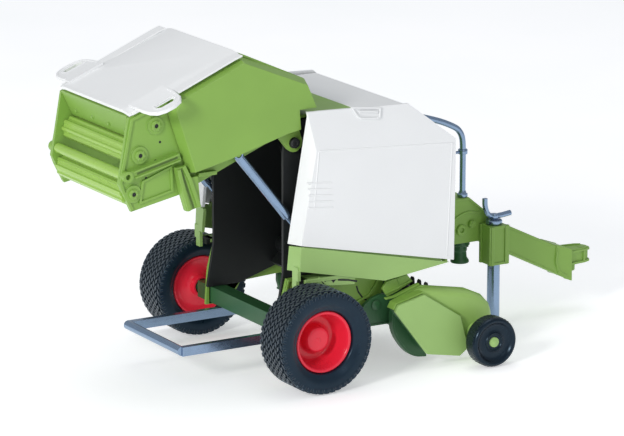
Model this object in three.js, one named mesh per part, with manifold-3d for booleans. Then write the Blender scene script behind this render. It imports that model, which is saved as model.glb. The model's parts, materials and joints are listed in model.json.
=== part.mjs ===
// Toy round baler, about 1:16, standing on its wheels and jack with the tailgate raised.
// Millimetres, +Z up, +X forward to the hitch, +Y to the machine's left.
// Places are given from the point on the ground below the middle of the axle.
import * as THREE from 'three';
import { mergeVertices } from 'three/addons/utils/BufferGeometryUtils.js';
import Module from 'manifold-3d';

const wasm = await Module();
wasm.setup();

const degree = Math.PI / 180;

// ---- clearances ----
const seat = 0.3; // between pieces that touch
const runningGap = 0.5; // round a pin or shaft that turns

// ---- bale chamber and its two halves ----
const chamberRadius = 47.5;
const chamberHeight = 88;
const chamberHalfWidth = 40;
const wall = 2;
const seamX = -4.3;
const seamGap = 1.5;
const wallOuter = chamberHalfWidth + wall;
const linerHalfWidth = chamberHalfWidth - seat;
const rollerRadius = 7;
const rollerRibs = 9;
const rollerAngles = [205, 225, 248.5];
const rollerShaft = 2;
const rollerCircle = chamberRadius + rollerRadius;

// ---- housing ----
const doorFace = 62;
const doorTopY = doorFace - 7;
const doorWall = 2;
const doorFrontX = 100.2;
const roofZ = 155;
const topRearX = 22;
const roofRearX = 43;
const roofHalfWidth = doorTopY - 2.6;
const crestX = 74;
const hoodFrontX = 100;
const hoodFrontZ = roofZ - 20.5;
const hoodInset = 0.6; // between the hood's front and the doors beside it
const floorZ = 60;
const skirtLowZ = 55;
const panelX = 97.5;
const railThickness = 2.2;

// ---- tailgate, given with the tailgate closed ----
const hingeX = 2;
const hingeZ = roofZ - 15.4;
const openAngle = 68 * degree;
const hingePin = 3;
const hingePinEnd = wallOuter + 4.5;
const tailTopX = -29;
const tailTopZ = roofZ + 5.4;
const coverRidge = [-63.2, roofZ - 26.6];
const coverLower = [-64.8, 52.6];
const coverCrown = 1.2; // how far the middle stands out behind the side edges
const coverFlat = chamberHalfWidth - 4;
const loopTilt = 5 * degree; // the handle loops at the rear cover's sides lean forward
const loopThickness = 1.6;
const crossBarRadius = 3;

// ---- wheels and axle ----
const wheelRadius = 30.5;
const wheelY = doorFace + 11;
const tyreWidth = 26;
const rimRadius = 18.2;
const stubRadius = 4;
const beamHalf = 5;
const beamHalfLength = wheelY - 15;
const gaugeRadius = 15;
const gaugeX = 113.6;
const gaugeWidth = 11;
const gaugeHubRadius = 5;
const gaugeStub = 2.5;

// ---- drawbar, hitch and jack ----
const drawbarHalfWidth = 8.5;
const drawbarTopZ = 82;
const drawbarTipX = 220;
const drawbarTipTopZ = 38;
const drawbarTipLowZ = 20;
const tongueTipX = 237;
const tongueLowZ = 29.5;
const tongueTopZ = 38.5;
const jackX = 159;
const jackY = -14.5;
const jackRadius = 3.8;
const jackSleeveHalf = 6;
const jackSleeveLowZ = 41;
const jackSleeveTopZ = 65;
const jackFootRadius = 8;
const jackFootThickness = 3;
const gearboxX = 144;
const gearboxLowZ = 40;
const gearboxSeatZ = 54;
const guideX = 142;
const guideY = -5.5;
const guideRadius = 1.9;
const guideEndZ = hoodFrontZ + 3.9;
const guideBendZ = guideEndZ - 25.4;

// ---- pick-up ----
const pickupPivotX = 54;
const pickupPivotZ = 37.5;
const pickupPin = 2.5;
const pickupArmY = wallOuter + 5;
const pickupArmThickness = 3;
const endPlateY = doorFace - 4;
const shieldY = doorFace + 8;
const gaugeY = shieldY + 11.9;
const reelX = 87;
const reelZ = 32;
const reelDrum = 8.5;
const reelTipRadius = 15.5;
const panWallThickness = 1.8;
const reelRows = 5;
const tinePitch = 7.5;
const tineWidth = 2.4;
const reelShaft = 3;

// ---- bale ramp ----
const rampPivotX = 14;
const rampPivotZ = 22.5;
const rampRearX = -65.5;
const rampHalfWidth = chamberHalfWidth - 8;
const rampBarRadius = 2.75;
const rampBarHeight = 6;
const rampBarThickness = 4;
const rampPin = 2;

// ---- lift cylinders ----
const liftY = wallOuter + 4.3;
const liftTop = [-10.85, hingeZ - 36.3]; // on the tailgate, given with the tailgate closed
const liftFoot = [25, 61.5];
const barrelRadius = 2.8;
const barrelLength = 52;
const rodRadius = 1.6;
const rodGrip = 3.1; // how much of the rod is left in the barrel with the tailgate raised
const rodEyeRadius = 2.6;
const rodEyeHalf = 1.2;
const liftPin = 1.6;
const rodReachX = 34; // nothing of the skirt stands in the rod's way behind this
const returnY = liftY + barrelRadius + 1.4; // the turned-in rear edges of door and skirt end here
const tailCoverY = liftY + barrelRadius + seat + wall; // the tailgate's covers pass over the cylinders

// ---- geometry helpers ----
function solid(geometry) {
  const bare = geometry.clone();
  bare.deleteAttribute('normal');
  bare.deleteAttribute('uv');
  const merged = mergeVertices(bare, 1e-4);
  const vertProperties = merged.attributes.position.array;
  const triVerts = new Uint32Array(merged.index.array);
  return new wasm.Manifold(new wasm.Mesh({ numProp: 3, vertProperties, triVerts }));
}

function geometryOf(manifold) {
  const mesh = manifold.getMesh();
  const geometry = new THREE.BufferGeometry();
  geometry.setAttribute('position', new THREE.BufferAttribute(mesh.vertProperties, 3));
  geometry.setIndex(new THREE.BufferAttribute(mesh.triVerts, 1));
  geometry.computeVertexNormals();
  return geometry;
}

function joined(first, ...others) {
  const start = solid(first);
  return geometryOf(others.reduce((whole, next) => whole.add(solid(next)), start));
}

function cut(body, ...tools) {
  const start = solid(body);
  return geometryOf(tools.reduce((whole, tool) => whole.subtract(solid(tool)), start));
}

function circle(centreA, centreB, radius, sides) {
  return Array.from({ length: sides }, (_, i) => {
    const angle = (i * 2 * Math.PI) / sides;
    return new THREE.Vector2(centreA + radius * Math.cos(angle), centreB + radius * Math.sin(angle));
  });
}

// An outline, with round holes each given as [place, place, radius].
function shapeOf(points, holes = []) {
  const shape = new THREE.Shape(points.map(([a, b]) => new THREE.Vector2(a, b)));
  shape.holes = holes.map(([a, b, radius]) => new THREE.Path(circle(a, b, radius, 16)));
  return shape;
}

// A plate with its outline in X and Z, between two places across the machine.
function slab(points, lowY, highY, holes) {
  const settings = { depth: highY - lowY, bevelEnabled: false };
  const geometry = new THREE.ExtrudeGeometry(shapeOf(points, holes), settings);
  geometry.rotateX(Math.PI / 2);
  geometry.translate(0, highY, 0);
  return geometry;
}

// A plate with its outline in X and Y, between two heights.
function level(points, lowZ, highZ, holes) {
  const settings = { depth: highZ - lowZ, bevelEnabled: false };
  const geometry = new THREE.ExtrudeGeometry(shapeOf(points, holes), settings);
  geometry.translate(0, 0, lowZ);
  return geometry;
}

function box(lowX, highX, lowY, highY, lowZ, highZ) {
  const geometry = new THREE.BoxGeometry(highX - lowX, highY - lowY, highZ - lowZ);
  geometry.translate((lowX + highX) / 2, (lowY + highY) / 2, (lowZ + highZ) / 2);
  return geometry;
}

function barY(radius, lowY, highY, x, z, sides = 20) {
  const geometry = new THREE.CylinderGeometry(radius, radius, highY - lowY, sides);
  geometry.translate(x, (lowY + highY) / 2, z);
  return geometry;
}

function barZ(radius, lowZ, highZ, x, y, sides = 20) {
  const geometry = new THREE.CylinderGeometry(radius, radius, highZ - lowZ, sides);
  geometry.rotateX(Math.PI / 2);
  geometry.translate(x, y, (lowZ + highZ) / 2);
  return geometry;
}

function rodAlong(points, radius, steps, sides = 8) {
  const path = new THREE.CatmullRomCurve3(points.map((p) => new THREE.Vector3(...p)), false, 'centripetal');
  const section = new THREE.Shape(circle(0, 0, radius, sides));
  const settings = { steps, extrudePath: path, bevelEnabled: false };
  return new THREE.ExtrudeGeometry(section, settings);
}

// A solid of revolution round the Y axis: the profile lists [radius, y].
function turned(profile, sides) {
  const points = profile.map(([radius, y]) => new THREE.Vector2(radius, y));
  return outward(new THREE.LatheGeometry(points, sides));
}

function reversed(geometry) {
  const index = geometry.index.array;
  for (let i = 0; i < index.length; i += 3) {
    [index[i], index[i + 1]] = [index[i + 1], index[i]];
  }
  return geometry;
}

// A bent sheet: convex polygons over shared corners, thickened along one direction.
function sheet(corners, polygons, shift) {
  const count = corners.length;
  const back = corners.map(([x, y, z]) => [x + shift[0], y + shift[1], z + shift[2]]);
  const triangles = [];
  const edges = new Map();
  for (const polygon of polygons) {
    for (let i = 1; i < polygon.length - 1; i += 1) {
      triangles.push(polygon[0], polygon[i], polygon[i + 1]);
      triangles.push(polygon[0] + count, polygon[i + 1] + count, polygon[i] + count);
    }
    polygon.forEach((from, i) => {
      const to = polygon[(i + 1) % polygon.length];
      edges.set(`${from},${to}`, [from, to]);
    });
  }
  for (const [from, to] of edges.values()) {
    if (!edges.has(`${to},${from}`)) {
      triangles.push(from, from + count, to, to, from + count, to + count);
    }
  }
  const geometry = new THREE.BufferGeometry();
  const positions = new Float32Array([...corners, ...back].flat());
  geometry.setAttribute('position', new THREE.BufferAttribute(positions, 3));
  geometry.setIndex(triangles);
  return outward(geometry);
}

function outward(geometry) {
  const position = geometry.attributes.position;
  const index = geometry.index.array;
  const corner = [new THREE.Vector3(), new THREE.Vector3(), new THREE.Vector3()];
  let volume = 0;
  for (let i = 0; i < index.length; i += 3) {
    corner.forEach((vector, j) => vector.fromBufferAttribute(position, index[i + j]));
    volume += corner[0].dot(corner[1].cross(corner[2]));
  }
  return volume < 0 ? reversed(geometry) : geometry;
}

// The same corners of an outline, each edge moved inward by its own distance.
function inset(points, distances) {
  const area = points.reduce((sum, [x, z], i) => {
    const [nextX, nextZ] = points[(i + 1) % points.length];
    return sum + x * nextZ - nextX * z;
  }, 0);
  const turn = Math.sign(area);
  const lines = points.map(([x, z], i) => {
    const [nextX, nextZ] = points[(i + 1) % points.length];
    const length = Math.hypot(nextX - x, nextZ - z);
    const along = [(nextX - x) / length, (nextZ - z) / length];
    const inward = [-along[1] * turn, along[0] * turn];
    return { x: x + inward[0] * distances[i], z: z + inward[1] * distances[i], along };
  });
  return lines.map((line, i) => {
    const before = lines[(i + lines.length - 1) % lines.length];
    const cross = before.along[0] * line.along[1] - before.along[1] * line.along[0];
    const reach = ((line.x - before.x) * line.along[1] - (line.z - before.z) * line.along[0]) / cross;
    return [before.x + before.along[0] * reach, before.z + before.along[1] * reach];
  });
}

// A block whose outline changes evenly from one place across the machine to another.
function tapered(nearPoints, nearY, farPoints, farY) {
  const contour = nearPoints.map(([x, z]) => new THREE.Vector2(x, z));
  const clockwise = THREE.ShapeUtils.isClockWise(contour);
  const count = contour.length;
  const order = contour.map((_, i) => (clockwise ? count - 1 - i : i));
  const near = order.map((i) => [nearPoints[i][0], nearY, nearPoints[i][1]]);
  const far = order.map((i) => [farPoints[i][0], farY, farPoints[i][1]]);
  const ordered = order.map((i) => contour[i]);
  const triangles = [];
  for (const face of THREE.ShapeUtils.triangulateShape(ordered, [])) {
    const [a, b, c] = THREE.ShapeUtils.area(face.map((i) => ordered[i])) > 0 ? face : face.reverse();
    triangles.push(a, b, c, a + count, c + count, b + count);
  }
  for (let i = 0; i < count; i += 1) {
    const next = (i + 1) % count;
    triangles.push(next, i, i + count, next, i + count, next + count);
  }
  const geometry = new THREE.BufferGeometry();
  const positions = new Float32Array([...near, ...far].flat());
  geometry.setAttribute('position', new THREE.BufferAttribute(positions, 3));
  geometry.setIndex(triangles);
  return outward(geometry);
}

function mirrored(geometry) {
  const copy = geometry.index ? geometry.clone() : mergeVertices(geometry);
  copy.scale(1, -1, 1);
  return reversed(copy);
}

function arcPoints(radius, fromDegrees, toDegrees, steps, centreX = 0, centreZ = chamberHeight) {
  return Array.from({ length: steps + 1 }, (_, i) => {
    const angle = (fromDegrees + ((toDegrees - fromDegrees) * i) / steps) * degree;
    return [centreX + radius * Math.cos(angle), centreZ + radius * Math.sin(angle)];
  });
}

function onCircle(radius, degrees, centreX = 0, centreZ = chamberHeight) {
  return arcPoints(radius, degrees, degrees, 1, centreX, centreZ)[0];
}

// ---- materials ----
function material(color, roughness, metalness) {
  return new THREE.MeshStandardMaterial({ color, roughness, metalness });
}

const looks = {
  green: () => material(0x85ad56, 0.4, 0),
  lightGreen: () => material(0x97bb72, 0.4, 0),
  darkGreen: () => material(0x4c7a40, 0.45, 0),
  white: () => material(0xe9edf0, 0.35, 0),
  black: () => material(0x15181a, 0.6, 0),
  tyre: () => material(0x17191d, 0.8, 0),
  red: () => material(0xd8232f, 0.35, 0),
  silver: () => material(0xa9b3c2, 0.3, 0.7),
};

const baler = new THREE.Group();

function add(parent, name, geometry, look) {
  const mesh = new THREE.Mesh(geometry, looks[look]());
  mesh.name = name;
  parent.add(mesh);
  return mesh;
}

// Builds a piece for the left side and its mirror image for the right.
function addPair(parent, name, geometry, look) {
  add(parent, `${name}_left`, geometry, look);
  add(parent, `${name}_right`, mirrored(geometry), look);
}

// ---- fixed housing ----
function addWalls() {
  const hoodDrop = (roofZ - hoodFrontZ) / (hoodFrontX - crestX);
  const frontX = panelX - wall - seat;
  const topZ = roofZ - wall - seat;
  const frontZ = topZ - (frontX - crestX) * hoodDrop - seat;
  const rearX = seamX + seamGap / 2;
  const outline = [
    [rearX - 4.6, wheelRadius + beamHalf + seat],
    [14, wheelRadius + beamHalf + seat],
    [50, 47],
    [frontX, floorZ + 1],
    [frontX, frontZ],
    [crestX - seat, topZ],
    [topRearX - 2, topZ],
    [8, topZ - 1.2],
    [-1, topZ - 6.7],
    [rearX, topZ - 18.7],
    [rearX, 62.5],
  ];
  const plate = slab(outline, chamberHalfWidth, wallOuter);
  const pin = barY(hingePin, chamberHalfWidth + wall / 2, hingePinEnd, hingeX, hingeZ);
  const foot = barY(liftPin, chamberHalfWidth + wall / 2, wallOuter + 1.6, ...liftFoot, 16);
  addPair(baler, 'chamber_wall', joined(plate, pin, foot), 'black');
}

// The front half of the chamber is a drum sheet with the rollers moulded on its inside.
function addFrontLiner() {
  const outer = arcPoints(rollerCircle + 2, -50, 86, 34);
  const inner = arcPoints(rollerCircle, 86, -50, 34);
  const drum = slab([...outer, ...inner], -linerHalfWidth, linerHalfWidth);
  const rolls = [-36, -14, 8, 30, 52, 74].map((angle) => {
    const [x, z] = onCircle(rollerCircle, angle);
    return barY(rollerRadius - 1, -linerHalfWidth, linerHalfWidth, x, z, 12);
  });
  add(baler, 'front_chamber_liner', joined(drum, ...rolls), 'black');
}

function addRoof() {
  const hoodHalfWidth = doorFace - doorWall - hoodInset;
  const corners = [
    [roofRearX, -roofHalfWidth, roofZ],
    [crestX, -roofHalfWidth, roofZ],
    [crestX, roofHalfWidth, roofZ],
    [roofRearX, roofHalfWidth, roofZ],
    [hoodFrontX, -hoodHalfWidth, hoodFrontZ],
    [hoodFrontX, hoodHalfWidth, hoodFrontZ],
  ];
  add(baler, 'roof', sheet(corners, [[0, 1, 2, 3], [1, 4, 5, 2]], [0, 0, -wall]), 'white');

  const lowZ = roofZ - wall;
  const flat = box(topRearX, roofRearX - seat, -roofHalfWidth, roofHalfWidth, lowZ, roofZ);
  const slope = [
    [topRearX + 1, lowZ], [topRearX + 1, roofZ], [topRearX - 1.5, roofZ], [8.8, roofZ - 1.2],
    [-1.6, roofZ - 7.6], [-0.4, roofZ - 9.2], [9.4, roofZ - 3.1], [topRearX - 1, lowZ],
  ];
  add(baler, 'hinge_cover', joined(flat, slab(slope, -linerHalfWidth, linerHalfWidth)), 'green');

  const panel = box(panelX - wall, panelX, -hoodHalfWidth, hoodHalfWidth, floorZ, hoodFrontZ - wall - seat);
  add(baler, 'front_panel', panel, 'green');
}

function addSkirts() {
  const plate = slab([[-3.2, 82.2], [-4, 68], [53, skirtLowZ], [97, 60.4]], doorFace - doorWall, doorFace);
  const rearCorners = [
    [-3.2, doorFace, 82.2], [-4, doorFace, 68], [-6, returnY, 66.7], [-4.6, returnY, 80.7],
  ];
  const rearFace = sheet(rearCorners, [[0, 1, 2, 3]], [wall, 0, 0]);
  const outerY = doorFace - 1;
  const shelf = box(rodReachX, 88, wallOuter + seat, outerY, floorZ, floorZ + wall);
  const rearShelf = box(0, rodReachX + 1, returnY, outerY, floorZ, floorZ + wall);
  const edge = slab([[0, 68], [53, skirtLowZ], [88, 59.4], [88, 62], [0, 81.8]], outerY - 2, outerY);
  const postInnerY = outerY - 6.3;
  const post = box(-5, -3, postInnerY, outerY, floorZ + 2, floorZ + 10);
  const postFoot = box(-5, -3, postInnerY, outerY - 1.7, floorZ - 3, floorZ + 3);
  const whole = joined(plate, rearFace, shelf, rearShelf, edge, post, postFoot);
  addPair(baler, 'skirt', whole, 'lightGreen');
}

function addDoors() {
  const corners = [
    [7, doorFace, roofZ - 18],
    [doorFrontX + 0.8, doorFace, roofZ - 21],
    [doorFrontX, doorFace, 61.3],
    [-3, doorFace, 83],
    [5, doorTopY, roofZ + 4],
    [72.7, doorTopY, roofZ + 1.5],
  ];
  const face = sheet(corners, [[0, 3, 2, 1], [0, 1, 5, 4]], [0, -doorWall, 0]);
  const rearCorners = [corners[3], corners[0], corners[4], [-5.6, returnY, 82.3]];
  const rearFace = sheet(rearCorners, [[0, 1, 2, 3]], [doorWall, 0, 0]);
  addPair(baler, 'side_door', joined(face, rearFace), 'white');
}

// ---- chassis ----
function addAxle() {
  const lowZ = wheelRadius - beamHalf;
  const beam = box(-beamHalf, beamHalf, -beamHalfLength, beamHalfLength, lowZ, lowZ + 2 * beamHalf);
  const stub = barY(stubRadius, -wheelY + 1.8, wheelY - 1.8, 0, wheelRadius);
  const lugTop = rampPivotZ + 3.5;
  const lugLow = rampPivotZ - 4;
  const lugFront = rampPivotX + 3.5;
  const lugOutline = [
    [0, wheelRadius], [0, lugTop], [rampPivotX - 4, lugLow], [lugFront, lugLow], [lugFront, lugTop],
    [beamHalf, wheelRadius + 2],
  ];
  const innerY = rampHalfWidth + rampBarThickness / 2 + seat;
  const lug = slab(lugOutline, innerY, innerY + 3);
  const pinHalf = innerY + 2;
  const pin = barY(rampPin, -pinHalf, pinHalf, rampPivotX, rampPivotZ, 16);
  add(baler, 'axle', joined(beam, stub, lug, mirrored(lug), pin), 'darkGreen');
}

function addRails() {
  const lowY = wallOuter + seat;
  const topZ = floorZ - 2 * seat;
  const outline = [
    [-8, 24.5], [9, 24.5], [16, 36], [44, 37.5], [49, 32.5], [59, 32.5], [62, 46], [64, topZ],
    [-2.6, topZ], [-6.5, 44],
  ];
  const plate = slab(outline, lowY, lowY + railThickness);
  const reach = beamHalf + seat;
  const passage = box(-reach, reach, lowY - 1, lowY + 4, wheelRadius - reach, wheelRadius + reach);
  const pinEnd = pickupArmY + pickupArmThickness + 1;
  const pin = barY(pickupPin, lowY + 1, pinEnd, pickupPivotX, pickupPivotZ);
  addPair(baler, 'chassis_rail', joined(cut(plate, passage), pin), 'green');
}

function addDrawbar() {
  const outline = [
    [panelX + seat, floorZ],
    [panelX + seat, drawbarTopZ],
    [145, drawbarTopZ],
    [167, 64],
    [drawbarTipX, drawbarTipTopZ],
    [drawbarTipX, drawbarTipLowZ],
    [167, 46.5],
    [gearboxX + 8, gearboxSeatZ],
    [gearboxX - 9, gearboxSeatZ],
    [gearboxX - 13, floorZ],
  ];
  add(baler, 'drawbar', slab(outline, -drawbarHalfWidth, drawbarHalfWidth), 'green');

  const rootX = drawbarTipX + seat;
  const shoulderX = tongueTipX - 3;
  const plan = [[rootX, -8], [shoulderX, -5], [tongueTipX, -3], [tongueTipX, 3], [shoulderX, 5], [rootX, 8]];
  const block = level(plan, tongueLowZ, tongueTopZ);
  const lug = barZ(2.3, 24, tongueLowZ + 1, drawbarTipX + 5.5, 0, 16);
  add(baler, 'hitch_tongue', joined(block, lug), 'green');

  const column = barZ(6, gearboxLowZ + 2, gearboxSeatZ - seat, gearboxX, 0, 24);
  const flare = new THREE.CylinderGeometry(6.2, 8.2, 3, 24);
  flare.rotateX(Math.PI / 2);
  flare.translate(gearboxX, 0, gearboxLowZ + 1.5);
  add(baler, 'drive_stub', joined(column, flare), 'darkGreen');
}

function addHoseGuide() {
  const route = [
    [guideX, guideY, drawbarTopZ + 1],
    [guideX, guideY, guideBendZ],
    [guideX - 0.4, guideY, guideBendZ + 5],
    [guideX - 2.1, guideY, guideBendZ + 9.2],
    [guideX - 5.5, guideY, guideBendZ + 12.3],
    [guideX - 16, guideY, guideBendZ + 17.2],
    [hoodFrontX + 12, guideY, guideEndZ - 3.8],
    [hoodFrontX - 1, guideY, guideEndZ],
  ];
  const rod = rodAlong(route, guideRadius, 28);
  const foot = box(guideX - 5, guideX + 3, guideY - 3, guideY + 3, drawbarTopZ + seat, drawbarTopZ + 2);
  const clip = box(guideX - 3.5, guideX + 3.5, guideY - 3, guideY + 3, guideBendZ - 4.5, guideBendZ - 1.5);
  const post = barZ(1.5, hoodFrontZ + 2.5, guideEndZ, hoodFrontX - 1.2, guideY, 12);
  add(baler, 'hose_guide', joined(rod, foot, clip, post), 'silver');
}

function addJack() {
  const half = jackSleeveHalf;
  const innerY = -drawbarHalfWidth - seat;
  const outerY = jackY - half;
  const plan = [
    [jackX - half, innerY], [jackX - half, outerY], [jackX + half, outerY], [jackX + half, innerY],
  ];
  const sleeve = level(plan, jackSleeveLowZ, jackSleeveTopZ, [[jackX, jackY, jackRadius + seat]]);
  add(baler, 'jack_sleeve', sleeve, 'green');

  const pole = barZ(jackRadius, 1, jackSleeveTopZ + 3, jackX, jackY);
  const foot = barZ(jackFootRadius, 0, jackFootThickness, jackX, jackY, 28);
  const collar = barZ(jackRadius + 1.2, jackSleeveTopZ + seat, jackSleeveTopZ + 3, jackX, jackY);
  add(baler, 'jack_leg', joined(pole, foot, collar), 'silver');

  const crankZ = jackSleeveTopZ + 3 + 1.7 + seat;
  const route = [
    [jackX - 6.8, jackY, crankZ + 12],
    [jackX - 6.3, jackY, crankZ + 6.5],
    [jackX - 4.6, jackY, crankZ + 2],
    [jackX - 1, jackY, crankZ],
    [jackX + 5, jackY, crankZ],
    [jackX + 12, jackY, crankZ + 0.8],
  ];
  add(baler, 'jack_crank', rodAlong(route, 1.7, 20), 'silver');
}

// ---- running gear ----
function addWheels() {
  const half = tyreWidth / 2;
  const bead = rimRadius + seat;
  const tyre = turned([
    [bead, -half + 3.5], [22, -half + 0.4], [wheelRadius - 3, -half], [wheelRadius, -half + 2.5],
    [wheelRadius, half - 2.5], [wheelRadius - 3, half], [22, half - 0.4], [bead, half - 3.5],
    [bead, -half + 3.5],
  ], 40);
  const rim = turned([
    [0, 4], [5.5, 4], [6, 0], [11, -1], [14.5, 3], [16.2, 9.5], [rimRadius, 9.5], [rimRadius, -9.5],
    [16.8, -9.5], [14, -4], [6.5, -4], [6.5, -half + 0.4], [stubRadius + seat, -half + 0.4],
    [stubRadius + seat, -1.5], [0, -1.5],
  ], 28);
  for (const geometry of [tyre, rim]) {
    geometry.translate(0, wheelY, wheelRadius);
  }
  addPair(baler, 'main_tyre', tyre, 'tyre');
  addPair(baler, 'main_rim', rim, 'red');

  const gaugeHalf = gaugeWidth / 2;
  const bore = gaugeHubRadius + seat;
  const roller = turned([
    [bore, -gaugeHalf + 0.5], [9, -gaugeHalf + 0.8], [9.6, -gaugeHalf], [13.4, -gaugeHalf],
    [gaugeRadius, -gaugeHalf + 2], [gaugeRadius, gaugeHalf - 2], [13.4, gaugeHalf], [9.6, gaugeHalf],
    [9, gaugeHalf - 0.8], [bore, gaugeHalf - 0.5], [bore, -gaugeHalf + 0.5],
  ], 28);
  const hub = turned([
    [0, gaugeHalf], [2.5, gaugeHalf], [2.7, gaugeHalf - 0.7], [gaugeHubRadius, gaugeHalf - 0.9],
    [gaugeHubRadius, -gaugeHalf], [gaugeStub + seat, -gaugeHalf], [gaugeStub + seat, gaugeHalf - 3],
    [0, gaugeHalf - 3],
  ], 24);
  for (const geometry of [roller, hub]) {
    geometry.translate(gaugeX, gaugeY, gaugeRadius);
  }
  addPair(baler, 'gauge_tyre', roller, 'tyre');
  addPair(baler, 'gauge_hub', hub, 'lightGreen');
}

// ---- pick-up ----
function addPickup() {
  const plateY = endPlateY + wall;
  const outline = [
    [60, 41.6], [79, 48.2], [109, 42.6], [120, 37.5], [126, 31], [127, 22], [121, 9], [104, 6],
    [99, 6.5], [80, 11], [60.5, 36],
  ];
  const plate = slab(outline, endPlateY, plateY, [[reelX, reelZ, reelShaft + seat]]);
  const stub = barY(gaugeStub, endPlateY + 1, gaugeY + gaugeWidth / 2 - 3 - seat, gaugeX, gaugeRadius, 16);
  const boss = barY(5, endPlateY + 1, gaugeY - gaugeWidth / 2 - seat, gaugeX, gaugeRadius, 20);
  addPair(baler, 'pickup_end_plate', joined(plate, boss, stub), 'green');

  const face = [
    [57.7, 41.2], [75.5, 45.2], [100.2, 29], [104.4, 14], [104.6, 8], [100, 4.8], [77.5, 9], [55.5, 37.5],
  ];
  const grow = [2.6, 2.6, 1, 1, 0.5, 0.5, 0.5, 1].map((size) => -size);
  const shield = tapered(inset(face, grow), plateY + seat, face, shieldY);
  addPair(baler, 'pickup_shield', shield, 'lightGreen');

  const halfWidth = endPlateY - seat;
  const outer = arcPoints(reelTipRadius + 4, 140, 214, 12, reelX, reelZ);
  const inner = arcPoints(reelTipRadius + 2.4, 214, 140, 12, reelX, reelZ);
  const pan = slab([...outer, ...inner], -halfWidth, halfWidth);
  const wallOutline = [...arcPoints(25, 150, 262, 16, 86, 27), [84, 8], [78, 15], [71.5, 27], [71.5, 42]];
  const end = slab(wallOutline, halfWidth - panWallThickness, halfWidth);
  const armOutline = [[44, 37.5], [55.5, 43.8], [62, 43], [70, 41], [70, 27], [62.5, 25], [44.5, 25]];
  const hole = [pickupPivotX, pickupPivotZ, pickupPin + seat];
  const arm = slab(armOutline, pickupArmY, pickupArmY + pickupArmThickness, [hole]);
  add(baler, 'pickup_pan', joined(pan, end, mirrored(end), arm, mirrored(arm)), 'darkGreen');
}

function addReel() {
  const halfWidth = endPlateY - seat - panWallThickness - runningGap;
  const drum = barY(reelDrum, -halfWidth, halfWidth, reelX, reelZ, 20);
  const shaft = barY(reelShaft, -endPlateY - wall, endPlateY + wall, reelX, reelZ, 16);
  const perSide = Math.floor((halfWidth - tineWidth) / tinePitch);
  const tines = [];
  for (let row = 0; row < reelRows; row += 1) {
    for (let place = -perSide; place <= perSide; place += 1) {
      const tine = box(0, reelTipRadius, -tineWidth / 2, tineWidth / 2, -1.1, 1.1);
      tine.rotateY(-(90 + (row * 360) / reelRows) * degree);
      tine.translate(reelX, place * tinePitch, reelZ);
      tines.push(tine);
    }
  }
  add(baler, 'tine_reel', joined(drum, shaft, ...tines), 'black');
}

// ---- bale ramp ----
function addRamp() {
  const halfHeight = rampBarHeight / 2;
  const outline = [
    [rampPivotX + 3.5, rampPivotZ - halfHeight],
    [rampPivotX + 3.5, rampPivotZ + halfHeight - 0.6],
    [rampRearX, rampPivotZ + halfHeight - 0.6],
    [rampRearX, rampPivotZ - halfHeight],
  ];
  const hole = [rampPivotX, rampPivotZ, rampPin + seat];
  const bars = [-1, 1].map((side) => {
    const middle = side * rampHalfWidth;
    return slab(outline, middle - rampBarThickness / 2, middle + rampBarThickness / 2, [hole]);
  });
  const rear = barY(rampBarRadius, -rampHalfWidth - 1, rampHalfWidth + 1, rampRearX, rampPivotZ, 16);
  add(baler, 'bale_ramp', joined(...bars, rear), 'silver');
}

// ---- tailgate, built closed and then raised about its hinge ----
const tailgate = new THREE.Group();
tailgate.position.set(hingeX, 0, hingeZ);
tailgate.rotation.y = openAngle;
baler.add(tailgate);

function onTailgate(name, geometry, look) {
  geometry.translate(-hingeX, 0, -hingeZ);
  add(tailgate, name, geometry, look);
}

function pairOnTailgate(name, geometry, look) {
  geometry.translate(-hingeX, 0, -hingeZ);
  addPair(tailgate, name, geometry, look);
}

// The cross bar lies just behind the lowest roller.
function crossBarPlace() {
  const [x, z] = onCircle(rollerCircle, rollerAngles[2]);
  return [x - rollerRadius - crossBarRadius - 1.8, z - 0.3];
}

function addTailPlates() {
  const frontX = seamX - seamGap / 2;
  const rearStep = coverCrown + wall + seat;
  const outline = [
    [frontX, roofZ - 24],
    [frontX, 62.5],
    [-10.8, 32.5],
    [-29.2, 31.6],
    [coverLower[0] + rearStep, coverLower[1] - 0.8],
    [coverRidge[0] + rearStep, coverRidge[1] - 4.5],
    [-30.6, roofZ + 0.5],
    [-22, roofZ + 0.5],
  ];
  const holes = rollerAngles.map((angle) => [...onCircle(rollerCircle, angle), rollerShaft + seat]);
  const plate = slab(outline, chamberHalfWidth, wallOuter, holes);
  const rings = holes.map(([x, z, radius]) => {
    const low = wallOuter - 1;
    const high = wallOuter + 1.2;
    const geometry = turned([[radius, low], [5, low], [5, high], [radius, high], [radius, low]], 20);
    geometry.translate(x, 0, z);
    return geometry;
  });
  const lugFoot = [[-24, roofZ - 29], [-8, roofZ - 24]];
  const lugHead = [-24, roofZ - 5];
  const spacer = slab([...lugFoot, [-12, roofZ - 12], lugHead], chamberHalfWidth + 1, wallOuter + 1.5);
  const lug = slab(
    [...lugFoot, ...arcPoints(hingePin + 2.5, -70, 95, 8, hingeX, hingeZ), [-12, roofZ - 9], lugHead],
    wallOuter + 0.6,
    wallOuter + 3,
    [[hingeX, hingeZ, hingePin + seat]],
  );
  const liftPost = barY(liftPin, wallOuter - 1, liftY + 2.6, ...liftTop, 16);
  const [barX, barMidZ] = crossBarPlace();
  const braceOutline = [[barX - 2.2, barMidZ], [barX + 2.2, barMidZ - 0.4], [-24.2, 70.8], [-28.6, 71.4]];
  const brace = slab(braceOutline, wallOuter - 1, wallOuter + 3.4);
  const boss = barY(crossBarRadius + 0.2, wallOuter - 1, wallOuter + 4.4, barX, barMidZ, 16);
  const pocket = barY(crossBarRadius - 1.4, wallOuter + 1.4, wallOuter + 5, barX, barMidZ, 12);
  const whole = cut(joined(plate, ...rings, spacer, lug, liftPost, brace, boss), pocket);
  pairOnTailgate('tailgate_side', whole, 'green');
}

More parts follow.
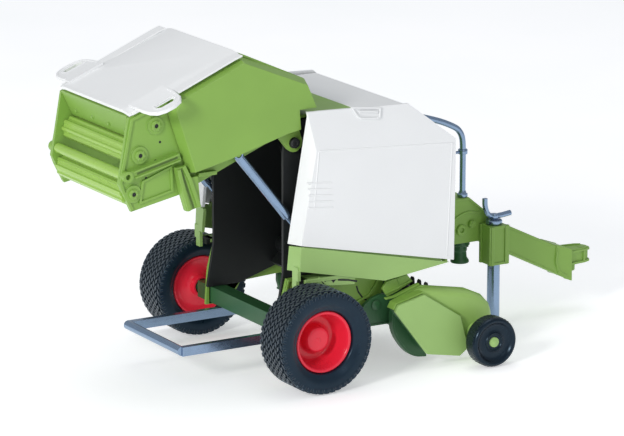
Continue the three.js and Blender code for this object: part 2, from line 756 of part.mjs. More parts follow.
function addTailCovers() {
  const rimY = wallOuter + 1;
  const outline = [
    [-10.4, tailTopZ + 0.6], [tailTopX, tailTopZ], [-61.8, coverRidge[1] - 1.5], [-61.2, 81.8],
    [-55, 74.5], [-14.6, 72], [-8.9, 106.2], [-5.6, roofZ - 19.9], [-3.6, roofZ - 10.8], [-15.4, roofZ - 7],
  ];
  const bevels = [3, 3, 3, 2, 2, 1.5, 2, 2, 1, 1];
  const walls = [2, 2, 2, 2, 2, -3, -3, -3, -3, 2];
  const face = inset(outline, bevels);
  const shell = tapered(outline, rimY, face, tailCoverY);
  const cavityOutline = inset(outline, walls);
  const cavityFace = inset(face, walls);
  const cavity = tapered(cavityOutline, rimY - 0.5, cavityFace, tailCoverY - wall);
  const postPlaces = [[-50, 110], [-30, 82], [-30, roofZ - 15]];
  const posts = postPlaces.map(([x, z]) => barY(2.5, wallOuter + seat, tailCoverY - 1, x, z, 12));
  pairOnTailgate('tailgate_cover', joined(cut(shell, cavity), ...posts), 'green');
}

function addRearCover() {
  const corners = [
    [coverRidge[0], -coverFlat, coverRidge[1]],
    [coverRidge[0], coverFlat, coverRidge[1]],
    [coverLower[0], coverFlat, coverLower[1]],
    [coverLower[0], -coverFlat, coverLower[1]],
    [coverRidge[0] + coverCrown, -wallOuter, coverRidge[1]],
    [coverRidge[0] + coverCrown, wallOuter, coverRidge[1]],
    [coverLower[0] + coverCrown, wallOuter, coverLower[1]],
    [coverLower[0] + coverCrown, -wallOuter, coverLower[1]],
  ];
  const panel = sheet(corners, [[0, 1, 2, 3], [4, 0, 3, 7], [1, 5, 6, 2]], [wall, 0, 0]);
  // The handle loop's outline and slot: [outward from the wall, up from the cover's lower edge].
  const outer = [
    [-6, 4.4], [8, 4.9], [15, 6], [19.8, 8.4], [22.2, 12.9], [22.4, 19.2], [20.4, 24], [16, 26.8],
    [8, 27.9], [-6, 27.9],
  ];
  const slot = [[11, 11.9], [14.5, 11], [16.6, 13.4], [16.8, 20.9], [14.8, 23.8], [11, 23.4]];
  const shape = shapeOf(outer);
  shape.holes.push(new THREE.Path(slot.map(([out, up]) => new THREE.Vector2(out, up))));
  const loop = new THREE.ExtrudeGeometry(shape, { depth: loopThickness, bevelEnabled: false });
  loop.rotateX(Math.PI / 2);
  loop.rotateZ(Math.PI / 2 - loopTilt);
  loop.translate(coverLower[0] - 0.6, wallOuter, coverLower[1]);
  onTailgate('rear_cover', joined(panel, loop, mirrored(loop)), 'white');
}

function addTailInside() {
  const half = wallOuter + 0.6;
  const rearX = coverRidge[0] + coverCrown + wall + seat;
  const rearZ = tailTopZ + (rearX - tailTopX) * 0.952;
  const corners = [
    [rearX, -half, rearZ], [tailTopX, -half, tailTopZ], [-11, -half, tailTopZ + 0.4],
    [rearX, half, rearZ], [tailTopX, half, tailTopZ], [-11, half, tailTopZ + 0.4],
  ];
  onTailgate('tailgate_top', sheet(corners, [[0, 1, 4, 3], [1, 2, 5, 4]], [0, 0, -wall]), 'green');

  // The drum sheet ends above the first roller, and an apron runs on over that roller to the rear cover.
  const endAngle = rollerAngles[0] - Math.asin((rollerRadius + 3.4) / rollerCircle) / degree;
  const outer = arcPoints(chamberRadius + wall, 98, endAngle, 24);
  const inner = arcPoints(chamberRadius, endAngle, 98, 24);
  const drum = slab([...outer, ...inner], -linerHalfWidth, linerHalfWidth);
  const [endX, endZ] = onCircle(chamberRadius + wall / 2, endAngle - 1);
  const [rollerX, rollerZ] = onCircle(rollerCircle, rollerAngles[0]);
  const toRoller = Math.atan2(rollerZ - endZ, rollerX - endX);
  const reach = Math.hypot(rollerX - endX, rollerZ - endZ);
  const slope = Math.tan(toRoller - Math.asin((rollerRadius + wall / 2 + 2 * seat) / reach));
  const apronX = coverLower[0] + wall + coverCrown + seat;
  const apronZ = endZ + (apronX - endX) * slope;
  const apronOutline = [[endX, endZ - 1], [endX, endZ + 1], [apronX, apronZ + 1], [apronX, apronZ - 1]];
  const apron = slab(apronOutline, -linerHalfWidth, linerHalfWidth);
  onTailgate('tailgate_liner', joined(drum, apron), 'green');
  const crossBar = barY(crossBarRadius, -linerHalfWidth, linerHalfWidth, ...crossBarPlace(), 20);
  onTailgate('tailgate_cross_bar', crossBar, 'green');
}

function addRollers() {
  const points = Array.from({ length: rollerRibs * 4 }, (_, i) => {
    const radius = i % 4 < 2 ? rollerRadius : rollerRadius - 1;
    const angle = ((i + (i % 2 ? 0.35 : -0.35) * 0.5) * 2 * Math.PI) / (rollerRibs * 4);
    return [radius * Math.cos(angle), radius * Math.sin(angle)];
  });
  rollerAngles.forEach((angle, i) => {
    const [x, z] = onCircle(rollerCircle, angle);
    const body = slab(points, -linerHalfWidth, linerHalfWidth);
    const shaft = barY(rollerShaft, -wallOuter - 1.6, wallOuter + 1.6, 0, 0, 16);
    const roller = joined(body, shaft);
    roller.translate(x, 0, z);
    onTailgate(`roller_${i + 1}`, roller, 'green');
  });
}

function addLatchArms() {
  const outline = [
    [-22, 65.8], [-20.5, 71], [-12.8, 71.2], [-11, 76.4], [6.2, 71.2], [4.6, 62.1], [-8, 63.2],
  ];
  const arm = slab(outline, wallOuter + runningGap, wallOuter + 4.5);
  pairOnTailgate('latch_arm', arm, 'green');
}

// ---- lift cylinders, set between the raised tailgate and the chamber wall ----
function addLifts() {
  const armX = liftTop[0] - hingeX;
  const armZ = liftTop[1] - hingeZ;
  const topX = hingeX + armX * Math.cos(openAngle) + armZ * Math.sin(openAngle);
  const topZ = hingeZ - armX * Math.sin(openAngle) + armZ * Math.cos(openAngle);
  const span = Math.hypot(liftFoot[0] - topX, liftFoot[1] - topZ);
  const tilt = Math.atan2(liftFoot[0] - topX, liftFoot[1] - topZ);

  const tube = turned([
    [rodRadius + seat, barrelLength], [barrelRadius, barrelLength], [barrelRadius, 0], [0, 0], [0, 4],
    [rodRadius + seat, 4], [rodRadius + seat, barrelLength],
  ], 20);
  tube.rotateX(Math.PI / 2);
  const eye = barY(barrelRadius, -barrelRadius, barrelRadius, 0, 0, 20);
  const bore = barY(liftPin + seat, -6, 6, 0, 0, 16);
  const barrel = cut(joined(tube, eye), bore);

  const rod = barZ(rodRadius, barrelLength - rodGrip, span, 0, 0, 16);
  const rodEye = barY(rodEyeRadius, -rodEyeHalf, rodEyeHalf, 0, span, 16);
  for (const side of [-1, 1]) {
    const lift = new THREE.Group();
    lift.position.set(topX, side * liftY, topZ);
    lift.rotation.y = tilt;
    baler.add(lift);
    const word = side > 0 ? 'left' : 'right';
    add(lift, `lift_barrel_${word}`, barrel, 'silver');
    add(lift, `lift_rod_${word}`, joined(rod, rodEye), 'silver');
  }
}

addWalls();
addFrontLiner();
addRoof();
addSkirts();
addDoors();
addAxle();
addRails();
addDrawbar();
addHoseGuide();
addJack();
addWheels();
addPickup();
addReel();
addRamp();
addTailPlates();
addTailCovers();
addRearCover();
addTailInside();
addRollers();
addLatchArms();
addLifts();

// The origin lies on the ground below the middle of the whole machine.
const extent = new THREE.Box3().setFromObject(baler, true);
baler.position.x = -(extent.min.x + extent.max.x) / 2;

export default baler;
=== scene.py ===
import json
import math

import bmesh
import bpy
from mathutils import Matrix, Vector


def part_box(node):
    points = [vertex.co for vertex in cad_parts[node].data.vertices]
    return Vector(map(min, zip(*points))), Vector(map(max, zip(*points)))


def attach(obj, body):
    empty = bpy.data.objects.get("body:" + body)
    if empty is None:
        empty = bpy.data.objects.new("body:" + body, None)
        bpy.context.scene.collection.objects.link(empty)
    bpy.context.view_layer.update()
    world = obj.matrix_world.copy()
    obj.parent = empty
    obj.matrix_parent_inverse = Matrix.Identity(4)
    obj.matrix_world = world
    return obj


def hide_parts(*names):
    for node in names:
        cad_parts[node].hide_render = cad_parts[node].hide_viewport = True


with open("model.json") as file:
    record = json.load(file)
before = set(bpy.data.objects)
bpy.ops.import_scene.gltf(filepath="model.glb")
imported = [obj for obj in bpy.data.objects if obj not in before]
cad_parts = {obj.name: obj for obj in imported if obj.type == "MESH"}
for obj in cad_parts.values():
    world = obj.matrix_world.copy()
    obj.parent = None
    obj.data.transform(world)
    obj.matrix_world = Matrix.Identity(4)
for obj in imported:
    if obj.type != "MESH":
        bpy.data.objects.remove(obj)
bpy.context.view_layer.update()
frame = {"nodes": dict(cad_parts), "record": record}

# Looks of the toy round baler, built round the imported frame.
# Lengths are in millimetres from the point on the ground below the middle of the axle:
# x forward to the hitch, y to the machine's left, z up. place() turns them into the row frame.
# The tailgate's pieces are drawn with the tailgate closed, and raised() turns them up.
MM = 0.001
TAU = 2 * math.pi
SIDES = {"left": 1, "right": -1}
SQUARE = ((-1, -1), (1, -1), (1, 1), (-1, 1))

tyre_low, tyre_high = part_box("main_tyre_left")
AXLE_X = (tyre_low.x + tyre_high.x) / 2


def wheel_size(tyre):
    """Middle of a wheel forward and outward, and its radius, from its tyre in the frame."""
    low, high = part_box(tyre)
    sizes = ((low.x + high.x) / 2 - AXLE_X, (low.y + high.y) / 2, (high.z - low.z) / 2)
    return tuple(round(size / MM, 3) for size in sizes)


WHEEL = wheel_size("main_tyre_left")
GAUGE = wheel_size("gauge_tyre_left")

# Sizes repeated from the CAD model.
HINGE = (2.0, 139.6)
OPEN_ANGLE = math.radians(68)
WALL_OUTER = 42.0
LATCH_FACE = 46.5
COVER_LOW = (-64.8, 52.6)
ROLLER_CIRCLE = 54.5
CHAMBER_HEIGHT = 88.0
ROLLER_ANGLES = (205, 225, 248.5)
DOOR_FACE = 62.0
RAIL_FACE = 44.2
DRAWBAR_HALF = 8.5

# How far a rib, cap or hole starts inside the plate that carries it.
SUNK = 0.3


def place(x, y, z):
    return Vector((x * MM + AXLE_X, y * MM, z * MM))


def raised(x, y, z):
    """A place given with the tailgate closed, as it lies with the tailgate raised."""
    across, up = x - HINGE[0], z - HINGE[1]
    cos, sin = math.cos(OPEN_ANGLE), math.sin(OPEN_ANGLE)
    return place(HINGE[0] + across * cos + up * sin, y, HINGE[1] - across * sin + up * cos)


def mirror_y(where, side):
    """The same way of placing, on the given side of the machine."""
    return lambda x, y, z: where(x, side * y, z)


# ---- materials ----
class Nodes:
    """Short calls for building one material's node tree."""

    def __init__(self, name):
        self.material = bpy.data.materials.new(name)
        self.material.use_nodes = True
        self.tree = self.material.node_tree
        self.shader = next(n for n in self.tree.nodes if n.type == "BSDF_PRINCIPLED")
        self.place = self.add("ShaderNodeTexCoord").outputs["Object"]

    def add(self, kind, **settings):
        node = self.tree.nodes.new(kind)
        for key, value in settings.items():
            setattr(node, key, value)
        return node

    def link(self, source, target):
        self.tree.links.new(source, target)

    def noise(self, scale, detail=3, rough=0.5):
        node = self.add("ShaderNodeTexNoise")
        node.inputs["Scale"].default_value = scale
        node.inputs["Detail"].default_value = detail
        node.inputs["Roughness"].default_value = rough
        self.link(self.place, node.inputs["Vector"])
        return node.outputs["Fac"]

    def span(self, source, low, high, to_low, to_high):
        node = self.add("ShaderNodeMapRange")
        for key, value in (("From Min", low), ("From Max", high), ("To Min", to_low), ("To Max", to_high)):
            node.inputs[key].default_value = value
        self.link(source, node.inputs["Value"])
        return node.outputs["Result"]

    def mix(self, factor, first, second):
        node = self.add("ShaderNodeMix", data_type="RGBA")
        self.link(factor, node.inputs["Factor"])
        for socket, value in ((node.inputs["A"], first), (node.inputs["B"], second)):
            if isinstance(value, tuple):
                socket.default_value = (*value, 1)
            else:
                self.link(value, socket)
        return node.outputs["Result"]

    def edges(self, radius):
        """1 on sharp edges, 0 on flat faces."""
        bevel = self.add("ShaderNodeBevel", samples=4)
        bevel.inputs["Radius"].default_value = radius
        geometry = self.add("ShaderNodeNewGeometry")
        dot = self.add("ShaderNodeVectorMath", operation="DOT_PRODUCT")
        self.link(bevel.outputs["Normal"], dot.inputs[0])
        self.link(geometry.outputs["Normal"], dot.inputs[1])
        return self.span(dot.outputs["Value"], 0.99, 0.8, 0, 1)

    def from_axle(self):
        """How far a place lies from the line through the main wheels' middles."""
        offset = self.add("ShaderNodeVectorMath", operation="SUBTRACT")
        self.link(self.place, offset.inputs[0])
        offset.inputs[1].default_value = (AXLE_X, 0, WHEEL[2] * MM)
        flat = self.add("ShaderNodeVectorMath", operation="MULTIPLY")
        self.link(offset.outputs["Vector"], flat.inputs[0])
        flat.inputs[1].default_value = (1, 0, 1)
        reach = self.add("ShaderNodeVectorMath", operation="LENGTH")
        self.link(flat.outputs["Vector"], reach.inputs[0])
        return reach.outputs["Value"]

    def bump(self, height, strength, distance):
        node = self.add("ShaderNodeBump")
        node.inputs["Strength"].default_value = strength
        node.inputs["Distance"].default_value = distance
        self.link(height, node.inputs["Height"])
        self.link(node.outputs["Normal"], self.shader.inputs["Normal"])


def shade(colour, factor):
    return tuple(min(1.0, c * factor) for c in colour)


def plastic(name, colour, rough=0.36, edge_sheen_and_wear=0.22, cloud=0.04):
    """Moulded plastic: clouded tone, fine specks and grain, and paler edges in patches, partly wearing from
    handling and partly painted highlight.
    """
    n = Nodes(name)
    clouds = n.span(n.noise(30, 2), 0.3, 0.7, 0, 1)
    tone = n.mix(clouds, shade(colour, 1 - cloud), shade(colour, 1 + cloud))
    speck = n.span(n.noise(1400, 2), 0.62, 0.75, 0, 0.2)
    tone = n.mix(speck, tone, shade(colour, 0.82))
    # Paler edges in patches: partly wearing, partly a painted highlight along the edges.
    edge = n.edges(0.0005)
    edge_patchiness = n.span(n.noise(240, 4), 0.35, 0.65, 0.15, 1)
    sheen_and_wear_mask = n.add("ShaderNodeMath", operation="MULTIPLY")
    n.link(edge, sheen_and_wear_mask.inputs[0])
    n.link(edge_patchiness, sheen_and_wear_mask.inputs[1])
    factor = n.span(sheen_and_wear_mask.outputs["Value"], 0, 1, 0, edge_sheen_and_wear)
    pale = tuple(c + (0.9 - c) * 0.6 for c in colour)
    n.link(n.mix(factor, tone, pale), n.shader.inputs["Base Color"])
    smear = n.span(n.noise(38, 5, 0.6), 0.3, 0.7, rough - 0.06, rough + 0.1)
    n.link(smear, n.shader.inputs["Roughness"])
    n.shader.inputs["Specular IOR Level"].default_value = 0.42
    n.bump(n.noise(2600, 2), 0.1, 0.00004)
    return n.material


def rubber(name, colour, rough, scuff_and_sheen=0.2, tread_radius=None):
    """Black rubber: dusty bloom, a matt grain, and paler edges and tread tops, partly scuffing and wearing
    and partly painted highlight.
    """
    n = Nodes(name)
    bloom = n.span(n.noise(90, 5, 0.6), 0.42, 0.75, 0, 0.4)
    tone = n.mix(bloom, colour, shade(colour, 1.8))
    if tread_radius:
        # Paler tread tops: partly wearing, partly a painted highlight on the blocks.
        sheen_and_wear_mask = n.span(n.from_axle(), (tread_radius - 0.7) * MM, tread_radius * MM, 0, 0.9)
        tone = n.mix(sheen_and_wear_mask, tone, (0.055, 0.066, 0.078))
    # Paler edges: partly scuffing, partly a painted highlight.
    factor = n.span(n.edges(0.0004), 0, 1, 0, scuff_and_sheen)
    n.link(n.mix(factor, tone, (0.12, 0.14, 0.16)), n.shader.inputs["Base Color"])
    n.link(n.span(n.noise(150, 4), 0.3, 0.7, rough, rough + 0.16), n.shader.inputs["Roughness"])
    n.shader.inputs["Specular IOR Level"].default_value = 0.42
    n.shader.inputs["Specular Tint"].default_value = (0.55, 0.78, 1.0, 1)
    n.bump(n.noise(1900, 3), 0.25, 0.00006)
    return n.material


def metal(name, colour, rough):
    """Bright silver finish with paler and duller patches and a fine grain."""
    n = Nodes(name)
    patch = n.span(n.noise(120, 4), 0.35, 0.7, 0, 1)
    n.link(n.mix(patch, shade(colour, 0.96), shade(colour, 1.04)), n.shader.inputs["Base Color"])
    n.link(n.span(n.noise(300, 3), 0.3, 0.7, rough - 0.03, rough + 0.06), n.shader.inputs["Roughness"])
    n.shader.inputs["Metallic"].default_value = 0.85
    n.bump(n.noise(2200, 2), 0.08, 0.00003)
    return n.material


GREEN = (0.225, 0.4, 0.072)
MATERIALS = {
    "green_plastic": plastic("baler_green", GREEN),
    "light_green_plastic": plastic("baler_light_green", (0.315, 0.5, 0.158), rough=0.42),
    # This dark green is darker than the plastic's own colour: partly painted shade.
    "dark_green_plastic": plastic("baler_dark_green_and_shade", (0.03, 0.11, 0.042)),
    "white_plastic": plastic("baler_white", (0.83, 0.84, 0.85), rough=0.34, edge_sheen_and_wear=0.35, cloud=0.012),
    "black_plastic": plastic("baler_black", (0.012, 0.014, 0.015), rough=0.55, edge_sheen_and_wear=0.06),
    "tyre_rubber": rubber("baler_tyre", (0.004, 0.011, 0.021), rough=0.27, scuff_and_sheen=0.7, tread_radius=30.3),
    "red_plastic": plastic("baler_red", (0.76, 0.022, 0.05), rough=0.2, edge_sheen_and_wear=0.15),
    "silver": metal("baler_silver", (0.25, 0.35, 0.5), rough=0.16),
}
GLOSSY_TYRE = rubber("baler_gauge_tyre", (0.002, 0.006, 0.012), rough=0.2)
# A lighter copy of the green plastic for the cowl: a painted highlight where its domed end faces the light.
LIT_COWL_GREEN = plastic("baler_cowl_lit_green", (0.325, 0.525, 0.135), rough=0.4)
# Rollers and cross bar: glossier, and a lighter copy of the green plastic as a painted highlight.
GLOSSY_LIT_ROLLER_GREEN = plastic("baler_roller_lit_green", (0.32, 0.52, 0.1), rough=0.2)
# A darker copy of the green plastic: painted shade for the channels and round the nuts.
SHADED_GREEN = plastic("baler_painted_shade_green", shade(GREEN, 0.42), rough=0.6)

SLOT_OF = {row["node"]: row["material_slot"] for row in frame["record"]["subparts"]}
GLOSSY_LIT_NODES = ("roller_1", "roller_2", "roller_3", "tailgate_cross_bar")


# ---- CAD nodes: a material, merged faces and rounded edges ----
def round_edges(piece, width, sharp):
    edges = piece.modifiers.new("edges", "BEVEL")
    edges.width = width * MM
    edges.segments = 2
    edges.limit_method = "ANGLE"
    edges.angle_limit = math.radians(sharp)
    edges.harden_normals = True


def tidy_node(name):
    node = frame["nodes"][name]
    mesh = node.data
    mesh.materials.clear()
    # Rollers and cross bar take the lighter copy of the green, a painted highlight.
    mesh.materials.append(GLOSSY_LIT_ROLLER_GREEN if name in GLOSSY_LIT_NODES else MATERIALS[SLOT_OF[name]])
    if mesh.has_custom_normals:
        mesh.attributes.remove(mesh.attributes["custom_normal"])
    mesh.polygons.foreach_set("use_smooth", [True] * len(mesh.polygons))
    weld = node.modifiers.new("weld", "WELD")
    weld.merge_threshold = 0.00001
    flat = node.modifiers.new("flat", "DECIMATE")
    flat.decimate_type = "DISSOLVE"
    flat.angle_limit = math.radians(0.5)
    round_edges(node, width=0.35, sharp=32)


# ---- mesh helpers ----
def finish_piece(bm, name, body, slot, replaces=(), sharp=35, bevel=0.0, look=None):
    """Makes a mesh a named piece that rides on a body.

    look is a material other than the slot's own. A piece has either rounded edges or sharp ones.
    """
    bmesh.ops.remove_doubles(bm, verts=bm.verts, dist=1e-7)
    bmesh.ops.recalc_face_normals(bm, faces=bm.faces)
    mesh = bpy.data.meshes.new(name)
    bm.to_mesh(mesh)
    bm.free()
    mesh.materials.append(look or MATERIALS[slot])
    mesh.polygons.foreach_set("use_smooth", [True] * len(mesh.polygons))
    piece = bpy.data.objects.new(name, mesh)
    bpy.context.scene.collection.objects.link(piece)
    if bevel:
        round_edges(piece, bevel, sharp)
    else:
        mesh.set_sharp_from_angle(angle=math.radians(sharp))
    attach(piece, body)
    if replaces:
        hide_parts(*replaces)


def on_circle(centre, radius, angle):
    return (centre[0] + radius * math.cos(angle), centre[1] + radius * math.sin(angle))


def bridge(bm, first, second, closed=True):
    """Joins two rows of corners by four-sided faces."""
    count = len(first)
    for i in range(count if closed else count - 1):
        j = (i + 1) % count
        bm.faces.new((first[i], first[j], second[j], second[i]))


def turn(bm, at, profile, steps):
    """Turns [radius, height] round a line: at(a, b, height) gives each place."""
    loops = []
    for radius, height in profile:
        points = [on_circle((0, 0), radius, i * TAU / steps) for i in range(steps if radius else 1)]
        loops.append([bm.verts.new(at(a, b, height)) for a, b in points])
    for first, second in zip(loops, loops[1:]):
        if len(first) == 1 or len(second) == 1:
            tip, ring = (first[0], second) if len(first) == 1 else (second[0], first)
            for i in range(steps):
                bm.faces.new((tip, ring[i], ring[(i + 1) % steps]))
        else:
            bridge(bm, first, second)


def lathe(bm, wheel, side, profile, steps):
    """Turns [radius, outward distance] round a wheel's middle."""
    x, y, z = wheel
    turn(bm, lambda a, b, out: place(x + a, side * (y + out), z + b), profile, steps)


def turned(bm, x, z, profile, where=place, steps=32):
    """Turns [radius, y] round a line across the machine."""
    turn(bm, lambda a, b, y: where(x + a, y, z + b), profile, steps)


def upright(bm, x, y, profile, steps=32):
    """Turns [radius, z] round an upright line."""
    turn(bm, lambda a, b, z: place(x + a, y + b, z), profile, steps)


def plug(radius, low, high):
    """The profile of a plain round plug."""
    return [(0, low), (radius, low), (radius, high), (0, high)]


def prism(bm, outline, low, high, where=place):
    """A plate with its outline in x and z, between two places across the machine."""
    near = [bm.verts.new(where(x, low, z)) for x, z in outline]
    far = [bm.verts.new(where(x, high, z)) for x, z in outline]
    bm.faces.new(near)
    bm.faces.new(far)
    bridge(bm, near, far)


def box(bm, x, y, z, where=place):
    """A block between (low, high) on each axis."""
    prism(bm, [(x[0], z[0]), (x[1], z[0]), (x[1], z[1]), (x[0], z[1])], *y, where)


def smooth_profile(points, rounds=2):
    """Cuts the corners of a line, keeping its ends."""
    for _ in range(rounds):
        cut = [points[0]]
        for (a, b), (c, d) in zip(points, points[1:]):
            cut += [(a * 0.75 + c * 0.25, b * 0.75 + d * 0.25), (a * 0.25 + c * 0.75, b * 0.25 + d * 0.75)]
        points = cut + [points[-1]]
    return points


def band(bm, line, width, low, high, where=place, closed=False):
    """A flat strip of even width along a line in x and z, standing from low to high."""
    count = len(line)
    near, far = [], []
    for i, (x, z) in enumerate(line):
        turns = []
        for a, b in ((i - 1, i), (i, i + 1)):
            if closed or (a >= 0 and b < count):
                (xa, za), (xb, zb) = line[a % count], line[b % count]
                length = math.hypot(xb - xa, zb - za)
                turns.append((-(zb - za) / length, (xb - xa) / length))
        across = (sum(t[0] for t in turns), sum(t[1] for t in turns))
        size = math.hypot(*across)
        across = (across[0] / size, across[1] / size)
        reach = width / 2 / (across[0] * turns[0][0] + across[1] * turns[0][1])
        near.append((x - across[0] * reach, z - across[1] * reach))
        far.append((x + across[0] * reach, z + across[1] * reach))
    loops = [[bm.verts.new(where(x, y, z)) for x, z in side]
             for side, y in ((near, low), (near, high), (far, high), (far, low))]
    for first, second in zip(loops, loops[1:] + loops[:1]):
        bridge(bm, first, second, closed)
    if not closed:
        bm.faces.new([loop[0] for loop in loops])
        bm.faces.new([loop[-1] for loop in loops])


def tube(bm, spots, radius, steps):
    """A round bar along places, its rings kept square to the line; radius is one value or one a place."""
    radii = radius if isinstance(radius, tuple) else (radius,) * len(spots)
    rings = []
    normal = Vector((0.13, 0.97, 0.21))
    for i, spot in enumerate(spots):
        ahead = spots[min(i + 1, len(spots) - 1)] - spots[max(i - 1, 0)]
        ahead.normalize()
        normal = (normal - ahead * normal.dot(ahead)).normalized()
        across = ahead.cross(normal)
        rings.append([bm.verts.new(spot + (normal * math.cos(a) + across * math.sin(a)) * radii[i] * MM)
                      for a in (k * TAU / steps for k in range(steps))])
    for first, second in zip(rings, rings[1:]):
        bridge(bm, first, second)
    bm.faces.new(rings[0])
    bm.faces.new(rings[-1])


def curve_points(points, steps):
    """Places along a smooth line through the points."""
    spots = [Vector(p) for p in points]
    spots = [spots[0] * 2 - spots[1]] + spots + [spots[-1] * 2 - spots[-2]]
    line = []
    for a, b, c, d in zip(spots, spots[1:], spots[2:], spots[3:]):
        for k in range(steps):
            t = k / steps
            line.append(0.5 * ((2 * b) + (c - a) * t + (2 * a - 5 * b + 4 * c - d) * t * t
                               + (3 * b - a - 3 * c + d) * t ** 3))
    line.append(spots[-2])
    return line


def curved_line(points, steps):
    """The same for a line in x and z."""
    return [(p.x, p.z) for p in curve_points([(x, 0, z) for x, z in points], steps)]


# ---- wheels ----
CROWN = 29.1
TREAD_ROWS = tuple(-11.25 + 2.5 * k for k in range(10))
BLOCKS_ROUND = 46
GAUGE_BLOCKS_ROUND = 40


def tread_block(bm, wheel, side, out, angle, heights, size, lean, taper=0.78):
    """A small block standing on a tyre between two radii, narrower at its top."""
    corners = []
    for radius, keep in zip(heights, (1.0, taper)):
        for a, b in SQUARE:
            along = a * size[0] * keep / 2 + b * lean
            x, z = on_circle((wheel[0], wheel[2]), radius, angle + along / wheel[2])
            corners.append(bm.verts.new(place(x, side * (wheel[1] + out + b * size[1] * keep / 2), z)))
    bm.faces.new(corners[4:])
    bridge(bm, corners[:4], corners[4:])


def main_tyre(word, side):
    half = [(18.5, 9.4), (18.9, 10.6), (20.6, 11.2), (22.6, 12.6), (26.4, 12.95), (28.4, 12.6),
            (CROWN, 11.6)]
    carcass = smooth_profile(half + [(CROWN, 0)] + [(radius, -out) for radius, out in reversed(half)])
    bm = bmesh.new()
    lathe(bm, WHEEL, side, carcass + carcass[:1], 108)
    for row, out in enumerate(TREAD_ROWS):
        shifted = row % 2
        lean = 0.7 if shifted else -0.7
        top = WHEEL[2] - (0.5 if abs(out) > 10 else 0.02)
        for i in range(BLOCKS_ROUND):
            angle = (i + shifted / 2) * TAU / BLOCKS_ROUND
            tread_block(bm, WHEEL, side, out, angle, (CROWN - 0.9, top), (2.9, 1.95), lean)
    for out in (12.25, -12.25):
        for i in range(BLOCKS_ROUND):
            angle = (i + 0.25) * TAU / BLOCKS_ROUND
            tread_block(bm, WHEEL, side, out, angle, (27.2, 29.4), (2.6, 1.5), 0.4)
    finish_piece(bm, f"tyre_tread_{word}", f"wheel_{word}", "tyre_rubber", [f"main_tyre_{word}"], 30)


def main_rim(word, side):
    hub = [(0, 3.5), (1.1, 3.5), (1.3, 3.1), (6.5, 3.1), (7.4, 2.3)]
    dish = [(7.7, -3.6), (8.6, -4.7), (12.4, -4.6), (13.9, -3.2), (14.7, 1.4), (15.3, 5.4), (16.0, 8.6)]
    edge = [(16.7, 9.45), (17.7, 9.45), (18.15, 8.9), (18.15, 6.5), (17.6, 5.0)]
    back = [(17.6, -5.0), (18.15, -6.5), (18.15, -9.4), (16.8, -9.4), (14.6, -7.4), (6.6, -7.2),
            (6.4, -12.5), (4.4, -12.5), (4.4, -2.0), (0, -2.0)]
    bm = bmesh.new()
    lathe(bm, WHEEL, side, smooth_profile(hub + dish + edge + back, 1), 108)
    finish_piece(bm, f"rim_dish_{word}", f"wheel_{word}", "red_plastic", [f"main_rim_{word}"], 40)


def gauge_tyre(word, side):
    face = [(3.3, 3.4), (4.6, 3.4), (5.0, 4.1), (5.7, 4.1), (6.1, 3.3), (8.6, 3.0), (10.6, 3.4),
            (11.6, 4.6), (12.4, 5.45)]
    tread = [(13.6, 5.45), (14.3, 4.8), (14.85, 3.6), (14.85, -3.6), (14.3, -4.8), (13.6, -5.45)]
    back = [(12.2, -5.45), (10.6, -3.6), (6.0, -3.4), (5.0, -5.4), (3.3, -5.4)]
    profile = smooth_profile(face + tread + back, 1)
    bm = bmesh.new()
    lathe(bm, GAUGE, side, profile + profile[:1], 72)
    for i in range(GAUGE_BLOCKS_ROUND):
        for out, lean, shift in ((-1.9, -0.45, 0.0), (1.9, 0.45, 0.6)):
            angle = i * TAU / GAUGE_BLOCKS_ROUND + shift / GAUGE[2]
            tread_block(bm, GAUGE, side, out, angle, (14.6, 14.98), (1.1, 3.4), lean, taper=0.8)
    finish_piece(bm, f"gauge_tread_{word}", f"gauge_wheel_{word}", "tyre_rubber",
                 [f"gauge_tyre_{word}"], 30, look=GLOSSY_TYRE)


def gauge_nut(word, side):
    profile = [(0, 4.6), (1.5, 4.6), (2.1, 4.2), (2.9, 4.2), (3.05, 3.9), (3.05, -5.2), (2.8, -5.2),
               (2.8, 2.0), (0, 2.0)]
    bm = bmesh.new()
    lathe(bm, GAUGE, side, profile, 12)
    finish_piece(bm, f"gauge_nut_{word}", f"gauge_wheel_{word}", "light_green_plastic",
                 [f"gauge_hub_{word}"], 40)


def build_wheels():
    for word, side in SIDES.items():
        main_tyre(word, side)
        main_rim(word, side)
    for word, side in SIDES.items():
        gauge_tyre(word, side)
        gauge_nut(word, side)


# ---- tailgate ----
ROLLERS = [on_circle((0, CHAMBER_HEIGHT), ROLLER_CIRCLE, math.radians(angle)) for angle in ROLLER_ANGLES]
HANDLE_TILT = math.radians(85)


